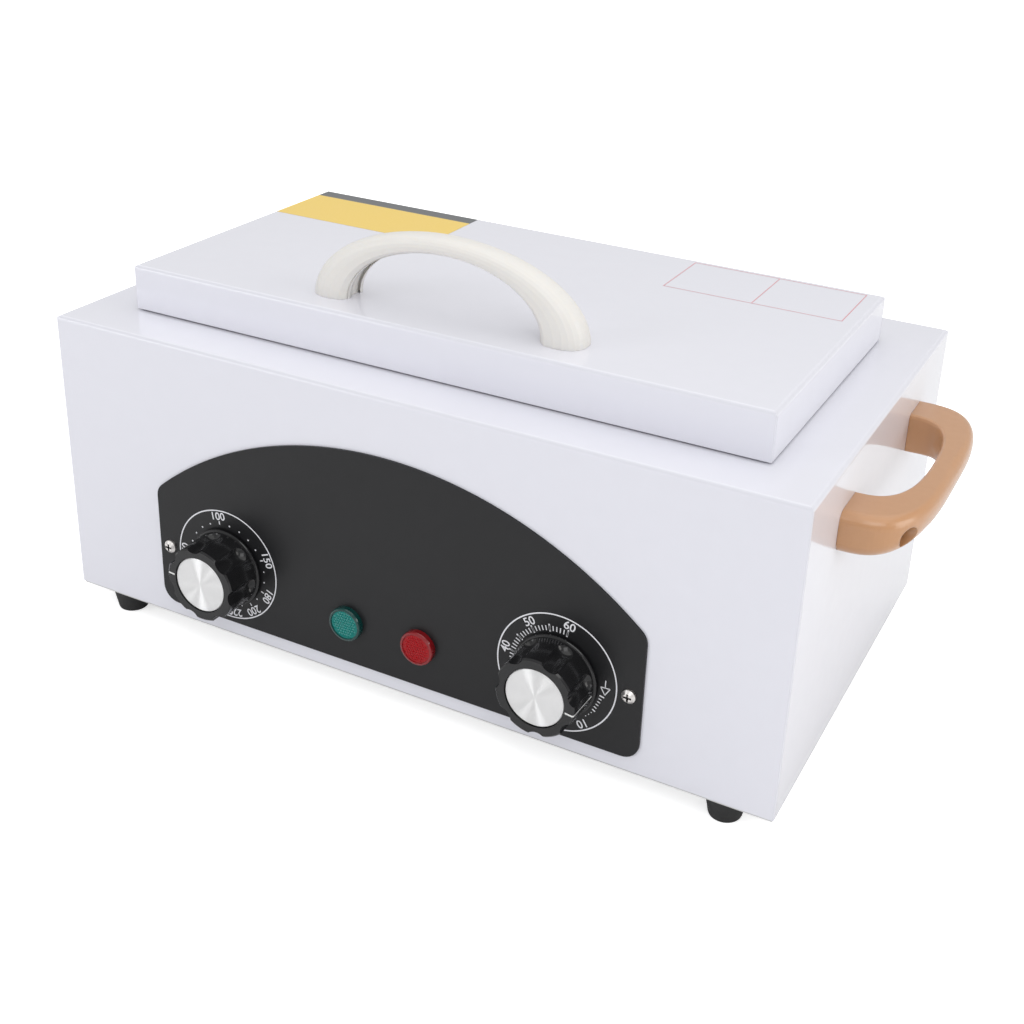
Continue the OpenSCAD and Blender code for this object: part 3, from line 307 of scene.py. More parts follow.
@dataclass
class Sheet(NodeTools):
    """A material under construction, with its Principled shader and object coordinates."""

    tree: bpy.types.NodeTree = field(init=False)
    name: str
    material: bpy.types.Material = field(init=False)
    shader: bpy.types.Node = field(init=False)
    place: Socket = field(init=False)
    facing: Socket = field(init=False)

    def __post_init__(self) -> None:
        """Create the material and keep its main nodes."""
        self.material = bpy.data.materials.new(self.name)
        self.material.use_nodes = True
        self.tree = self.material.node_tree
        self.shader = self.tree.nodes["Principled BSDF"]
        coordinates = self.node("ShaderNodeTexCoord")
        self.place, self.facing = coordinates.outputs["Object"], coordinates.outputs["Normal"]

    def surface(self, **values: object) -> None:
        """Fill the shader's own inputs, with a socket where a value changes over the surface."""
        for key, value in values.items():
            self.feed(self.shader.inputs[key.replace("_", " ")], value)

    def group(self, name: str, **values: object) -> bpy.types.bpy_prop_collection:
        """Place one of the shared groups.

        Args:
            name: The group's short name.
            values: Its inputs. Vector is object coordinates unless it is given.

        Returns:
            The group's outputs.
        """
        return self.node("ShaderNodeGroup", {"Vector": self.place, **values}, node_tree=shared(name)).outputs

    def mixed(self, mask: Socket, first: Colour | Socket, second: Colour | Socket) -> Socket:
        """Mix two colours by a mask.

        Args:
            mask: The socket that holds the mask.
            first: The colour where the mask is 0.
            second: The colour where it is 1.

        Returns:
            The mixed socket.
        """
        colours = {key: rgba(value) if isinstance(value, tuple) else value
                   for key, value in (("A", first), ("B", second))}
        return self.node("ShaderNodeMix", {"Factor": mask, **colours}, data_type="RGBA").outputs["Result"]

    def uneven(self, mask: Socket, value: float, shares: tuple[float, float]) -> Socket:
        """Vary one value between two shares of it, by a mask, and return the varied socket."""
        return self.spread(mask, value * shares[0], value * shares[1])

    def noise(self, scale: float, detail: float = 2.0, stretch: Point = (1.0, 1.0, 1.0)) -> Socket:
        """Add stretched noise on object coordinates.

        Args:
            scale: How fine the noise is.
            detail: How many finer layers it has.
            stretch: Its scale along each axis.

        Returns:
            The socket that holds its value.
        """
        mapping = self.node("ShaderNodeMapping", {"Vector": self.place, "Scale": stretch})
        return self.node("ShaderNodeTexNoise",
                         {"Vector": mapping.outputs["Vector"], "Scale": scale, "Detail": detail}).outputs["Fac"]


MATERIALS: dict[str, bpy.types.Material] = {}


@dataclass(frozen=True)
class Finish:
    """One finish of the object. Each kind fills in its own shader."""

    name: str
    colour: Colour

    def fill(self, sheet: Sheet) -> None:
        """Set up the shader of this finish on an empty material.

        Args:
            sheet: The material under construction.
        """
        raise NotImplementedError

    def material(self) -> bpy.types.Material:
        """Look up this finish's material, which is built the first time it is asked for.

        Returns:
            The material.
        """
        if self.name not in MATERIALS:
            sheet = Sheet(self.name)
            self.fill(sheet)
            MATERIALS[self.name] = sheet.material
        return MATERIALS[self.name]


@dataclass(frozen=True)
class PowderCoat(Finish):
    """Powder coat or enamel on sheet steel, with faint orange peel and wiping marks."""

    roughness: float = 0.3
    peel: float = 0.02
    peel_scale: float = 420.0
    coat: float = 1.0
    coat_roughness: float = 0.04
    specular: float = 0.3
    drift: float = 0.985
    wiped: float = 1.25
    fold_shade: float = 0.88
    fold_coat: float = 0.3

    def fill(self, sheet: Sheet) -> None:
        """Set up the coat's colour drift, gloss drift and peel, and on the folds a painted shade and less clear coat.

        Args:
            sheet: The material under construction.
        """
        marks = sheet.group("handling", Scale=7.0)
        peel = sheet.group("relief", Scale=self.peel_scale, Strength=self.peel, Depth=FINE_DEPTH)["Normal"]
        folds = sheet.group("fold", Vector=sheet.facing)["Fold"]
        cover = sheet.mixed(marks["Mask"], scaled(self.colour, self.drift), self.colour)
        # Painted shade: the colour is darker along the folds, to tone down the highlight that the lamps give them.
        sheet.surface(Base_Color=sheet.mixed(folds, cover, scaled(self.colour, self.fold_shade)),
                      Roughness=sheet.spread(marks["Mask"], self.roughness * self.wiped, self.roughness),
                      Specular_IOR_Level=self.specular, Normal=peel, Coat_Normal=peel,
                      Coat_Weight=sheet.spread(folds, self.coat, self.coat * self.fold_coat),
                      Coat_Roughness=self.coat_roughness)


@dataclass(frozen=True)
class Moulded(Finish):
    """Moulded plastic or rubber, with a fine mould texture and slight mottling."""

    roughness: float = 0.4
    grain_scale: float = 1400.0
    grain: float = 0.12
    mottle: float = 0.93
    specular: float = 0.5
    coat: float = 0.0
    coat_roughness: float = 0.2
    subsurface: float = 0.0
    light_depth: float = 2.0
    light_reach: Colour = (1.0, 0.8, 0.6)
    handled: tuple[float, float] = (1.15, 0.9)
    soften: float = 0.0

    def fill(self, sheet: Sheet) -> None:
        """Set up the mottled colour, the handled gloss, the mould texture and the softened edges.

        Args:
            sheet: The material under construction.
        """
        marks = sheet.group("handling", Scale=16.0)
        grain = sheet.group("relief", Scale=self.grain_scale, Detail=3.0, Strength=self.grain, Depth=FINE_DEPTH)
        surface = grain["Normal"]
        if self.soften:
            edges = sheet.node("ShaderNodeBevel", {"Radius": self.soften * MM}, samples=6).outputs["Normal"]
            surface = sheet.bump(grain["Height"], self.grain, FINE_DEPTH, edges)
            sheet.surface(Coat_Normal=edges)
        sheet.surface(Base_Color=sheet.mixed(marks["Fine"], scaled(self.colour, self.mottle), self.colour),
                      Roughness=sheet.uneven(marks["Mask"], self.roughness, self.handled), Normal=surface,
                      Specular_IOR_Level=self.specular, Coat_Weight=self.coat, Coat_Roughness=self.coat_roughness,
                      Subsurface_Weight=self.subsurface, Subsurface_Scale=self.light_depth * MM,
                      Subsurface_Radius=self.light_reach)


@dataclass(frozen=True)
class SheetMetal(Finish):
    """Bare metal with fine lines along one axis, or none, and cloudy gloss."""

    roughness: float = 0.3
    grain: Grain = Grain.NONE
    lines: float = 0.12
    line_scale: float = 900.0
    tint: Colour = WHITE
    cloudy: tuple[float, float] = (0.75, 1.3)
    recess: float = 0.0
    shelter: tuple[float, float] = (0.62, 0.86)
    recess_shade: float = 0.03

    def fill(self, sheet: Sheet) -> None:
        """Set up the metal's lines, its cloudy tint, its gloss and a painted shade in its recesses.

        Args:
            sheet: The material under construction.
        """
        marks = sheet.group("handling", Scale=14.0)
        lines = sheet.group("relief", Stretch=self.grain.value, Scale=self.line_scale, Detail=4.0,
                            Strength=self.lines, Depth=FAINT_DEPTH)
        tinted = tuple(a * b for a, b in zip(self.colour, self.tint))
        cover = sheet.mixed(marks["Mask"], self.colour, tinted)
        # Painted shade: where ambient occlusion finds a recess, such as a screw's cross, the colour is darkened.
        if self.recess:
            light = sheet.node("ShaderNodeAmbientOcclusion", {"Distance": self.recess * MM}, samples=8,
                               only_local=True).outputs["AO"]
            cover = sheet.mixed(sheet.spread(light, 0.0, 1.0, self.shelter), scaled(self.colour, self.recess_shade), cover)
        sheet.surface(Base_Color=cover, Metallic=1.0, Normal=lines["Normal"],
                      Roughness=sheet.uneven(lines["Height"], self.roughness, self.cloudy))


@dataclass(frozen=True)
class SpunMetal(Finish):
    """Metal turned on a lathe about an axis along Y, so that it shines in two fans."""

    centre: Point = (0.0, 0.0, 0.0)
    roughness: float = 0.40
    sheen: tuple[float, float] = (0.8, 1.2)
    dark: float = 0.94
    ring_strength: float = 0.05
    ring_depth: float = 0.05

    def fill(self, sheet: Sheet) -> None:
        """Set up the rings, and the sheen that follows them.

        Args:
            sheet: The material under construction.
        """
        turned = sheet.group("turned", Centre=self.centre)
        rings = turned["Height"]
        sheet.surface(Base_Color=sheet.mixed(rings, scaled(self.colour, self.dark), self.colour),
                      Roughness=sheet.uneven(rings, self.roughness, self.sheen), Tangent=turned["Tangent"],
                      Normal=sheet.bump(rings, self.ring_strength, self.ring_depth * MM),
                      Metallic=1.0, Anisotropic=1.0)


@dataclass(frozen=True)
class HeatedSteel(Finish):
    """A sheathed heating element, dark, with straw and blue oxide clouds."""

    straw: Colour = (0.20, 0.13, 0.06)
    roughness: float = 0.5
    oxide: tuple[float, float] = (0.8, 1.2)
    metallic: float = 0.6

    def fill(self, sheet: Sheet) -> None:
        """Set up the oxide clouds and the dull, slightly pitted surface.

        Args:
            sheet: The material under construction.
        """
        clouds = sheet.noise(scale=45.0, detail=4.0)
        sheet.surface(Base_Color=sheet.mixed(clouds, self.colour, self.straw), Metallic=self.metallic,
                      Roughness=sheet.uneven(clouds, self.roughness, self.oxide),
                      Normal=sheet.group("relief", Scale=1800.0, Strength=0.25, Depth=FINE_DEPTH)["Normal"])


@dataclass(frozen=True)
class Wool(Finish):
    """Mineral wool board, made of crossed fibres."""

    shade: float = 0.6
    fibres: float = 700.0
    squash: float = 0.12
    relief: float = 0.7
    relief_depth: float = 0.6
    roughness: float = 0.95

    def fill(self, sheet: Sheet) -> None:
        """Set up two crossed sets of fibres in the colour and in the relief.

        Args:
            sheet: The material under construction.
        """
        along, across = (sheet.noise(scale=self.fibres, detail=4.0, stretch=stretch)
                         for stretch in ((self.squash, 1.0, 1.0), (1.0, 1.0, self.squash)))
        both = sheet.maths("MAXIMUM", along, across)
        sheet.surface(Base_Color=sheet.mixed(both, scaled(self.colour, self.shade), self.colour),
                      Normal=sheet.bump(both, self.relief, self.relief_depth * MM), Roughness=self.roughness)


@dataclass(frozen=True)
class ClearLens(Finish):
    """A lamp's tinted lens, deeper in colour where it is seen at a slant."""

    deep: Colour = (0.0, 0.0, 0.0)
    gloss: float = 0.5
    slant: float = 0.35
    polish: tuple[float, float] = (0.06, 0.14)
    coat_share: float = 0.5
    coat_roughness: float = 0.03

    def fill(self, sheet: Sheet) -> None:
        """Set up the depth of colour and the polish.

        Args:
            sheet: The material under construction.
        """
        facing = sheet.node("ShaderNodeLayerWeight", {"Blend": self.slant}).outputs["Facing"]
        flow = sheet.group("relief", Scale=260.0, Strength=0.05, Depth=FINE_DEPTH)
        sheet.surface(Base_Color=sheet.mixed(facing, self.colour, self.deep), Normal=flow["Normal"],
                      Roughness=sheet.spread(flow["Height"], *self.polish), Specular_IOR_Level=self.gloss,
                      Coat_Weight=self.gloss * self.coat_share, Coat_Roughness=self.coat_roughness)


@dataclass(frozen=True)
class Ink(Finish):
    """Screen print or a thin printed film, with slightly uneven cover."""

    roughness: float = 0.45
    cover: float = 0.86
    dull: tuple[float, float] = (1.2, 1.0)

    def fill(self, sheet: Sheet) -> None:
        """Set up the uneven cover and the dull print surface.

        Args:
            sheet: The material under construction.
        """
        marks = sheet.group("handling", Scale=60.0)
        sheet.surface(Base_Color=sheet.mixed(marks["Fine"], scaled(self.colour, self.cover), self.colour),
                      Roughness=sheet.uneven(marks["Mask"], self.roughness, self.dull),
                      Normal=sheet.group("relief", Scale=2600.0, Strength=0.08, Depth=FAINT_DEPTH)["Normal"])


FINISHES: dict[str, Finish] = {finish.name: finish for finish in (
    PowderCoat("white_paint", (0.765, 0.765, 0.83)),
    PowderCoat("black_panel", (0.0105, 0.0105, 0.0118), roughness=0.34, peel=0.10, peel_scale=1500.0, coat=0.0,
               specular=0.36),
    PowderCoat("black_screw", (0.022, 0.022, 0.024), roughness=0.4, peel=0.3, peel_scale=1800.0, coat=0.0,
               specular=0.5),
    SheetMetal("plated_steel", (0.66, 0.66, 0.65), roughness=0.34, lines=0.06, tint=(0.96, 0.97, 1.0)),
    SheetMetal("copper_tube", (0.72, 0.36, 0.22), roughness=0.3, tint=(0.8, 0.7, 0.6)),
    SheetMetal("stainless_steel", (0.56, 0.56, 0.55), roughness=0.36, grain=Grain.ALONG_X, lines=0.1),
    SheetMetal("chrome_screw", (0.84, 0.81, 0.79), roughness=0.38, lines=0.08, line_scale=2500.0, recess=1.2),
    SpunMetal("spun_aluminium", WHITE),
    HeatedSteel("dark_steel", (0.05, 0.05, 0.055)),
    Moulded("black_rubber", (0.014, 0.014, 0.014), roughness=0.62, grain_scale=900.0, grain=0.3),
    Moulded("seal_rubber", (0.42, 0.10, 0.06), roughness=0.5, grain_scale=700.0, grain=0.2),
    Moulded("black_plastic", (0.012, 0.012, 0.013), roughness=0.15, grain=0.03, mottle=0.8),
    Moulded("ivory_plastic", (0.755, 0.735, 0.705), roughness=0.38, grain=0.04, mottle=0.98, specular=0.4,
            subsurface=0.15, soften=0.45),
    Moulded("tan_plastic", (0.52, 0.265, 0.12), roughness=0.34, grain=0.06, mottle=0.95, coat=0.8,
            subsurface=0.05, soften=0.8),
    Wool("wool_felt", (0.62, 0.56, 0.42)),
    ClearLens("green_lens", (0.002, 0.05, 0.046), deep=(0.0, 0.018, 0.018)),
    ClearLens("red_lens", (0.26, 0.006, 0.01), deep=(0.08, 0.001, 0.002)),
)}
GREEN_FACE = ClearLens("green_lens_face", (0.002, 0.215, 0.19), deep=(0.0, 0.08, 0.072), gloss=0.22)
RED_FACE = ClearLens("red_lens_face", (0.38, 0.007, 0.011), deep=(0.17, 0.003, 0.005), gloss=0.22)
PRINT_WHITE = Ink("print_white", (0.86, 0.86, 0.90))
POINTER_WHITE = Ink("pointer_white", (0.86, 0.86, 0.85), roughness=0.5)
FILM_YELLOW = Ink("film_yellow", (0.84, 0.60, 0.14), roughness=0.32, cover=0.97)
FILM_GREY = Ink("film_grey", (0.13, 0.135, 0.14), roughness=0.32, cover=0.95)
PRINT_RED = Ink("print_red", (0.74, 0.30, 0.33), roughness=0.4)


# Mesh tools


def mesh_object(name: str, mesh: bpy.types.Mesh) -> bpy.types.Object:
    """Put a mesh into the scene.

    Args:
        name: The object's name.
        mesh: Its mesh.

    Returns:
        The object, which sits at the origin.
    """
    made = bpy.data.objects.new(name, mesh)
    bpy.context.scene.collection.objects.link(made)
    return made


def from_form(name: str, form: bmesh.types.BMesh) -> bpy.types.Object:
    """Turn a bmesh into an object.

    Args:
        name: The object's name.
        form: The bmesh, which is freed.

    Returns:
        The object, which sits at the origin.
    """
    mesh = bpy.data.meshes.new(name)
    form.to_mesh(mesh)
    form.free()
    return mesh_object(name, mesh)


def bridged(form: bmesh.types.BMesh, rings: Sequence[Sequence[bmesh.types.BMVert]]) -> None:
    """Join each closed ring of points to the next one with a band of faces.

    Args:
        form: The mesh under construction.
        rings: The rings, which have equal numbers of points.
    """
    for a, b in zip(rings, rings[1:]):
        for i in range(len(a)):
            j = (i + 1) % len(a)
            form.faces.new((a[i], a[j], b[j], b[i]))


def flat_face(name: str, corners: Sequence[Point]) -> bpy.types.Object:
    """Make one flat face.

    Args:
        name: The object's name.
        corners: Its corners, anticlockwise as it is seen.

    Returns:
        The face as an object.
    """
    form = bmesh.new()
    form.faces.new([form.verts.new(corner) for corner in corners])
    return from_form(name, form)


def merged(name: str, parts: Sequence[bpy.types.Object]) -> bpy.types.Object:
    """Join objects that share one finish into one object.

    Args:
        name: The name of the joined object.
        parts: The objects, which are removed.

    Returns:
        The joined object.
    """
    form = bmesh.new()
    for part in parts:
        form.from_mesh(part.data)
        bpy.data.objects.remove(part)
    return from_form(name, form)


def finished(piece: bpy.types.Object, finish: Finish, body: Body) -> bpy.types.Object:
    """Give a piece its finish and the body that it moves with, and report it.

    Args:
        piece: The object.
        finish: Its finish.
        body: The body it rides on.

    Returns:
        The same object.
    """
    piece.data.materials.clear()
    piece.data.materials.append(finish.material())
    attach(piece, body.value)
    LOG.info("%s: %d faces", piece.name, len(piece.data.polygons))
    return piece


def ring_print(centre: Point, inner: float, outer: float, segments: int = 120) -> bpy.types.Object:
    """Make a flat printed ring that faces the front.

    Args:
        centre: The ring's centre.
        inner: Inner radius.
        outer: Outer radius.
        segments: How many straight pieces its edges have.

    Returns:
        The ring, lying in an upright plane.
    """
    form = bmesh.new()
    turns = [math.tau * i / segments for i in range(segments)]
    rings = [[form.verts.new((centre[0] + r * math.cos(turn), centre[1], centre[2] + r * math.sin(turn)))
              for turn in turns] for r in (outer, inner)]
    bridged(form, rings)
    return from_form("ring", form)


@dataclass(frozen=True)
class Digits:
    """How the printed numbers are drawn."""

    tallness: float = 0.72
    swell: float = 0.012
    squeeze: float = 1.02
    smoothness: int = 4

    def build(self, text: str, centre: Point, radius: float, angle: float, height: float) -> bpy.types.Object:
        """Make one printed number on a dial, with its top towards the rim.

        Args:
            text: The digits.
            centre: The dial's centre.
            radius: Where the middle of the number stands.
            angle: Its angle, in degrees from +X towards +Z.
            height: The height of its digits.

        Returns:
            The number as a flat mesh that faces the front.
        """
        curve = bpy.data.curves.new(f"number_{text}", "FONT")
        curve.body = text
        curve.align_x = curve.align_y = "CENTER"
        curve.size = height / self.tallness
        curve.offset = self.swell * curve.size
        curve.resolution_u = self.smoothness
        shape = bpy.data.objects.new("digits", curve)
        bpy.context.scene.collection.objects.link(shape)
        mesh = settled(shape)
        turn = Matrix.Rotation(math.radians(90 - angle), 4, "Y")
        stand = Matrix.Rotation(math.radians(90), 4, "X")
        squeeze = Matrix.Diagonal((self.squeeze, 1.0, 1.0, 1.0))
        mesh.transform(Matrix.Translation(centre) @ turn @ Matrix.Translation((0, 0, radius)) @ stand @ squeeze)
        return mesh_object(f"number_{text}", mesh)


def settled(shape: bpy.types.Object) -> bpy.types.Mesh:
    """Turn an object's evaluated shape into a plain mesh.

    Args:
        shape: The object, which is removed.

    Returns:
        The mesh.
    """
    bpy.context.view_layer.update()
    mesh = bpy.data.meshes.new_from_object(shape.evaluated_get(bpy.context.evaluated_depsgraph_get()))
    bpy.data.objects.remove(shape)
    return mesh


@dataclass(frozen=True)
class StartArrow:
    """The open arrow where a timer's turn starts, in millimetres right of and above the dial's centre."""

    inner: tuple[float, float] = (20.4, 0.2)
    outer: tuple[float, float] = (24.6, 0.4)
    tip: tuple[float, float] = (22.4, -3.2)
    tail: tuple[float, float] = (22.45, 3.9)
    root: tuple[float, float] = (22.4, 0.3)
    width: float = 0.46

    def stroke(self, centre: Point, start: tuple[float, float], end: tuple[float, float]) -> bpy.types.Object:
        """Make one straight printed line.

        Args:
            centre: The dial's centre.
            start: The line's first end.
            end: Its other end.

        Returns:
            The line as a flat mesh that faces the front.
        """
        a, b = Vector(start), Vector(end)
        ahead = (b - a).normalized()
        side = Vector((-ahead.y, ahead.x)) * self.width / 2
        return flat_face("stroke", [(centre[0] + p.x * MM, centre[1], centre[2] + p.y * MM)
                                    for p in (a - side, b - side, b + side, a + side)])

    def build(self, centre: Point) -> list[bpy.types.Object]:
        """Make the arrow's head and shaft.

        Args:
            centre: The dial's centre.

        Returns:
            Their lines.
        """
        ends = ((self.inner, self.outer), (self.outer, self.tip), (self.tip, self.inner), (self.tail, self.root))
        return [self.stroke(centre, start, end) for start, end in ends]


# Dial marks by nodes


class MarkShape(Enum):
    """The two kinds of mark on a dial."""

    TICK = "tick"
    DOT = "dot"


@dataclass(frozen=True)
class MarkRun:
    """A run of equal marks round a dial, in degrees and millimetres. A dot's width is its radius."""

    shape: MarkShape
    first: float
    step: float
    count: int
    radius: float
    length: float
    width: float


def marks_tree(shape: MarkShape) -> bpy.types.NodeTree:
    """Build the node tree that sets marks round a dial.

    Args:
        shape: Whether the marks are ticks or dots.

    Returns:
        The tree, with its sizes as named inputs.
    """
    group = NodeGroup(f"dial_{shape.value}s",
                      {"Count": Kind.WHOLE, "First": Kind.NUMBER, "Step": Kind.NUMBER, "Radius": Kind.NUMBER,
                       "Length": Kind.NUMBER, "Width": Kind.NUMBER, "Centre": Kind.VECTOR, "Ink": Kind.MATERIAL},
                      {"Geometry": Kind.GEOMETRY}, family="GeometryNodeTree")
    given = group.given
    turn = group.maths("MULTIPLY_ADD", group.node("GeometryNodeInputIndex").outputs[0], given["Step"], given["First"])
    spoke = group.node("ShaderNodeCombineXYZ", {"X": group.maths("COSINE", turn), "Z": group.maths("SINE", turn)})
    place = group.vector_maths("MULTIPLY_ADD", spoke.outputs[0], given["Radius"], given["Centre"])
    points = group.node("GeometryNodePoints", {"Count": given["Count"], "Position": place})
    if shape is MarkShape.TICK:
        stamp = group.node("GeometryNodeMeshGrid", {"Vertices X": 2, "Vertices Y": 2, "Size X": given["Length"],
                                                    "Size Y": given["Width"]})
    else:
        stamp = group.node("GeometryNodeMeshCircle", {"Vertices": 16, "Radius": given["Width"]}, fill_type="NGON")
    stand = group.node("GeometryNodeTransform", {"Geometry": stamp.outputs["Mesh"],
                                                 "Rotation": (math.radians(90), 0.0, 0.0)})
    lean = group.node("ShaderNodeCombineXYZ", {"Y": group.maths("MULTIPLY", turn, -1.0)})
    copies = group.node("GeometryNodeInstanceOnPoints", {"Points": points.outputs[0], "Instance": stand.outputs[0],
                                                         "Rotation": lean.outputs[0]})
    solid = group.node("GeometryNodeRealizeInstances", {0: copies.outputs[0]})
    inked = group.node("GeometryNodeSetMaterial", {"Geometry": solid.outputs[0], "Material": given["Ink"]})
    return group.done(Geometry=inked.outputs[0])


TREES: dict[MarkShape, bpy.types.NodeTree] = {}


def mark_run(run: MarkRun, centre: Point, ink: Finish) -> bpy.types.Object:
    """Make one run of dial marks as a plain mesh.

    Args:
        run: The marks' sizes and angles.
        centre: The dial's centre on the panel.
        ink: The finish of the marks.

    Returns:
        The marks, joined in one object.
    """
    if run.shape not in TREES:
        TREES[run.shape] = marks_tree(run.shape)
    tree = TREES[run.shape]
    seed = mesh_object("marks", bpy.data.meshes.new("marks"))
    modifier = seed.modifiers.new("marks", "NODES")
    modifier.node_group = tree
    values = {"Count": run.count, "First": math.radians(run.first), "Step": math.radians(run.step),
              "Radius": run.radius * MM, "Length": run.length * MM, "Width": run.width * MM, "Centre": centre,
              "Ink": ink.material()}
    for item in tree.interface.items_tree:
        if item.item_type == "SOCKET" and item.in_out == "INPUT":
            modifier[item.identifier] = values[item.name]
    return mesh_object("marks", settled(seed))


# Sub-assemblies


SLOTS: dict[str, str] = {part["node"]: part["material_slot"] for part in frame["record"]["subparts"]}


@dataclass
class Assembly:
    """A group of CAD nodes that are finished together, with what is built on them."""

    nodes: tuple[str, ...] = ()
    own: dict[str, Finish] = field(default_factory=dict)

    def dress(self) -> None:
        """Give every CAD node of this assembly the finish of its slot, or its own."""
        for node in self.nodes:
            piece = frame["nodes"][node]
            finish = self.own.get(node, FINISHES[SLOTS[node]])
            piece.data.materials.clear()
            piece.data.materials.append(finish.material())
            LOG.info("%s wears %s", node, finish.name)

    def build(self) -> None:
        """Make the pieces that only the scene has. Most assemblies have none."""


@dataclass
class Housing(Assembly):
    """The folded steel body, its base, feet and rear gland."""

    nodes: tuple[str, ...] = ("outer_casing", "base_plate", "base_screws", "foot_front_left", "foot_front_right",
                              "foot_rear_left", "foot_rear_right", "foot_screws", "cord_gland", "terminal_block")


@dataclass
class CarryingHandles(Assembly):
    """The two tan handles on the side walls, with their screws."""

    nodes: tuple[str, ...] = ("side_handle_left", "side_handle_right", "side_handle_screws", "side_handle_nuts")


@dataclass
class Chamber(Assembly):
    """The drawn steel chamber, its heater, wool and tray."""

    nodes: tuple[str, ...] = ("chamber_liner", "insulation_jacket", "heating_element", "heat_shield",
                              "instrument_tray", "tray_handles")


@dataclass
class Hinges(Assembly):
    """The two butt hinges behind the lid."""

    nodes: tuple[str, ...] = ("hinge_lower_left", "hinge_lower_right", "hinge_upper_left", "hinge_upper_right",
                              "hinge_pin_left", "hinge_pin_right", "hinge_screws", "lid_hinge_screws")


@dataclass
class Lid(Assembly):
    """The lid with its seal, handle, plain sticker and thin outlines. Sizes are in millimetres."""

    nodes: tuple[str, ...] = ("lid_shell", "lid_inner_panel", "lid_insulation", "lid_seal", "lid_handle",
                              "lid_handle_screws")
    film: tuple[float, float, float, float] = (-153.5, -59.7, 30.2, 76.5)
    band: float = 8.5
    frame_box: tuple[float, float, float, float] = (62.5, 147.4, 34.0, 74.5)
    frame_middle: float = 105.4
    frame_line: float = 0.4

    def rectangle(self, name: str, x0: float, x1: float, y0: float, y1: float) -> bpy.types.Object:
        """Make a flat rectangle on the lid's top.

        Args:
            name: The object's name.
            x0: Its left edge.
            x1: Its right edge.
            y0: Its front edge.
            y1: Its back edge.

        Returns:
            The rectangle, which faces up.
        """
        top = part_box("lid_shell")[1].z + INK_LIFT
        return flat_face(name, [(x * MM, y * MM, top) for x, y in ((x0, y0), (x1, y0), (x1, y1), (x0, y1))])

    def build(self) -> None:
        """Lay the two-tone sticker and the thin red outlines on the lid."""
        x0, x1, y0, y1 = self.film
        field_end = y1 - self.band
        for name, start, end, film in (("sticker_field", y0, field_end, FILM_YELLOW),
                                       ("sticker_band", field_end, y1, FILM_GREY)):
            finished(self.rectangle(name, x0, x1, start, end), film, Body.LID)
        x0, x1, y0, y1 = self.frame_box
        line = self.frame_line
        bars = [(x0, x1, y0, y0 + line), (x0, x1, y1 - line, y1)]
        bars += [(x, x + line, y0 + line, y1 - line) for x in (x0, self.frame_middle - line / 2, x1 - line)]
        outlines = merged("sticker_outlines", [self.rectangle("outline", *bar) for bar in bars])
        finished(outlines, PRINT_RED, Body.LID)


@dataclass
class FrontPanel(Assembly):
    """The black panel with its screws, lamps and the parts behind it."""

    nodes: tuple[str, ...] = ("control_panel", "panel_screws", "control_screws", "green_lens", "red_lens",
                              "green_lamp_holder", "red_lamp_holder", "thermostat", "thermostat_bulb", "timer")


@dataclass
class LampLens(Assembly):
    """One lamp's lens in full detail, a low cap round a face of small pyramids, in millimetres."""

    node: str = ""
    face: Finish = GREEN_FACE
    rim: tuple[tuple[float, float], ...] = ((8.2, 0.0), (8.2, 2.2), (7.95, 2.75), (7.35, 3.0), (6.95, 2.95),
                                            (6.8, 2.5))
    segments: int = 72
    pitch: float = 1.3
    peak: float = 0.42
    sunk: float = 0.1
    margin: float = 0.91

    def cap(self, form: bmesh.types.BMesh, middle: Vector) -> int:
        """Turn the cap from its rim's outline of radius and rise.

        Args:
            form: The mesh under construction.
            middle: The lens's centre on the panel.

        Returns:
            How many faces the cap has in front of its round face, which is the last one.
        """
        turns = [math.tau * i / self.segments for i in range(self.segments)]
        rings = [[form.verts.new(middle + Vector((radius * math.cos(turn), -rise, radius * math.sin(turn))) * MM)
                  for turn in turns] for radius, rise in self.rim]
        bridged(form, rings)
        form.faces.new(rings[0])
        count = len(form.faces)
        form.faces.new(rings[-1])
        bmesh.ops.recalc_face_normals(form, faces=form.faces)
        return count

    def pyramids(self, form: bmesh.types.BMesh, middle: Vector) -> None:
        """Set closed pyramids in offset rows on the cap's face, with their feet sunk into it.

        Args:
            form: The mesh under construction.
            middle: The lens's centre on the panel.
        """
        edge, floor = self.rim[-1]
        reach = edge - self.margin
        span = math.ceil(reach / self.pitch)
        half = self.pitch / 2 * (1 + self.sunk / self.peak)
        for row in range(-span, span + 1):
            for column in range(-span, span + 1):
                x, z = (column + 0.5 * (row % 2)) * self.pitch, row * self.pitch
                if math.hypot(x, z) > reach:
                    continue
                foot = [form.verts.new(middle + Vector((x + u, self.sunk - floor, z + v)) * MM)
                        for u, v in ((-half, -half), (half, -half), (half, half), (-half, half))]
                top = form.verts.new(middle + Vector((x, -floor - self.peak, z)) * MM)
                for a, b in zip(foot, foot[1:] + foot[:1]):
                    form.faces.new((a, b, top))
                form.faces.new(foot[::-1])

    def build(self) -> None:
        """Make the cap and its cut face, and let them stand for the plain solid."""
        low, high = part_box(self.node)
        middle = Vector(((low.x + high.x) / 2, high.y, (low.z + high.z) / 2))
        form = bmesh.new()
        plain_faces = self.cap(form, middle)
        self.pyramids(form, middle)
        piece = finished(from_form(f"{self.node}_cap", form), FINISHES[self.node], Body.HOUSING)
        piece.data.materials.append(self.face.material())
        for polygon in piece.data.polygons[plain_faces:]:
            polygon.material_index = 1
        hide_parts(self.node)


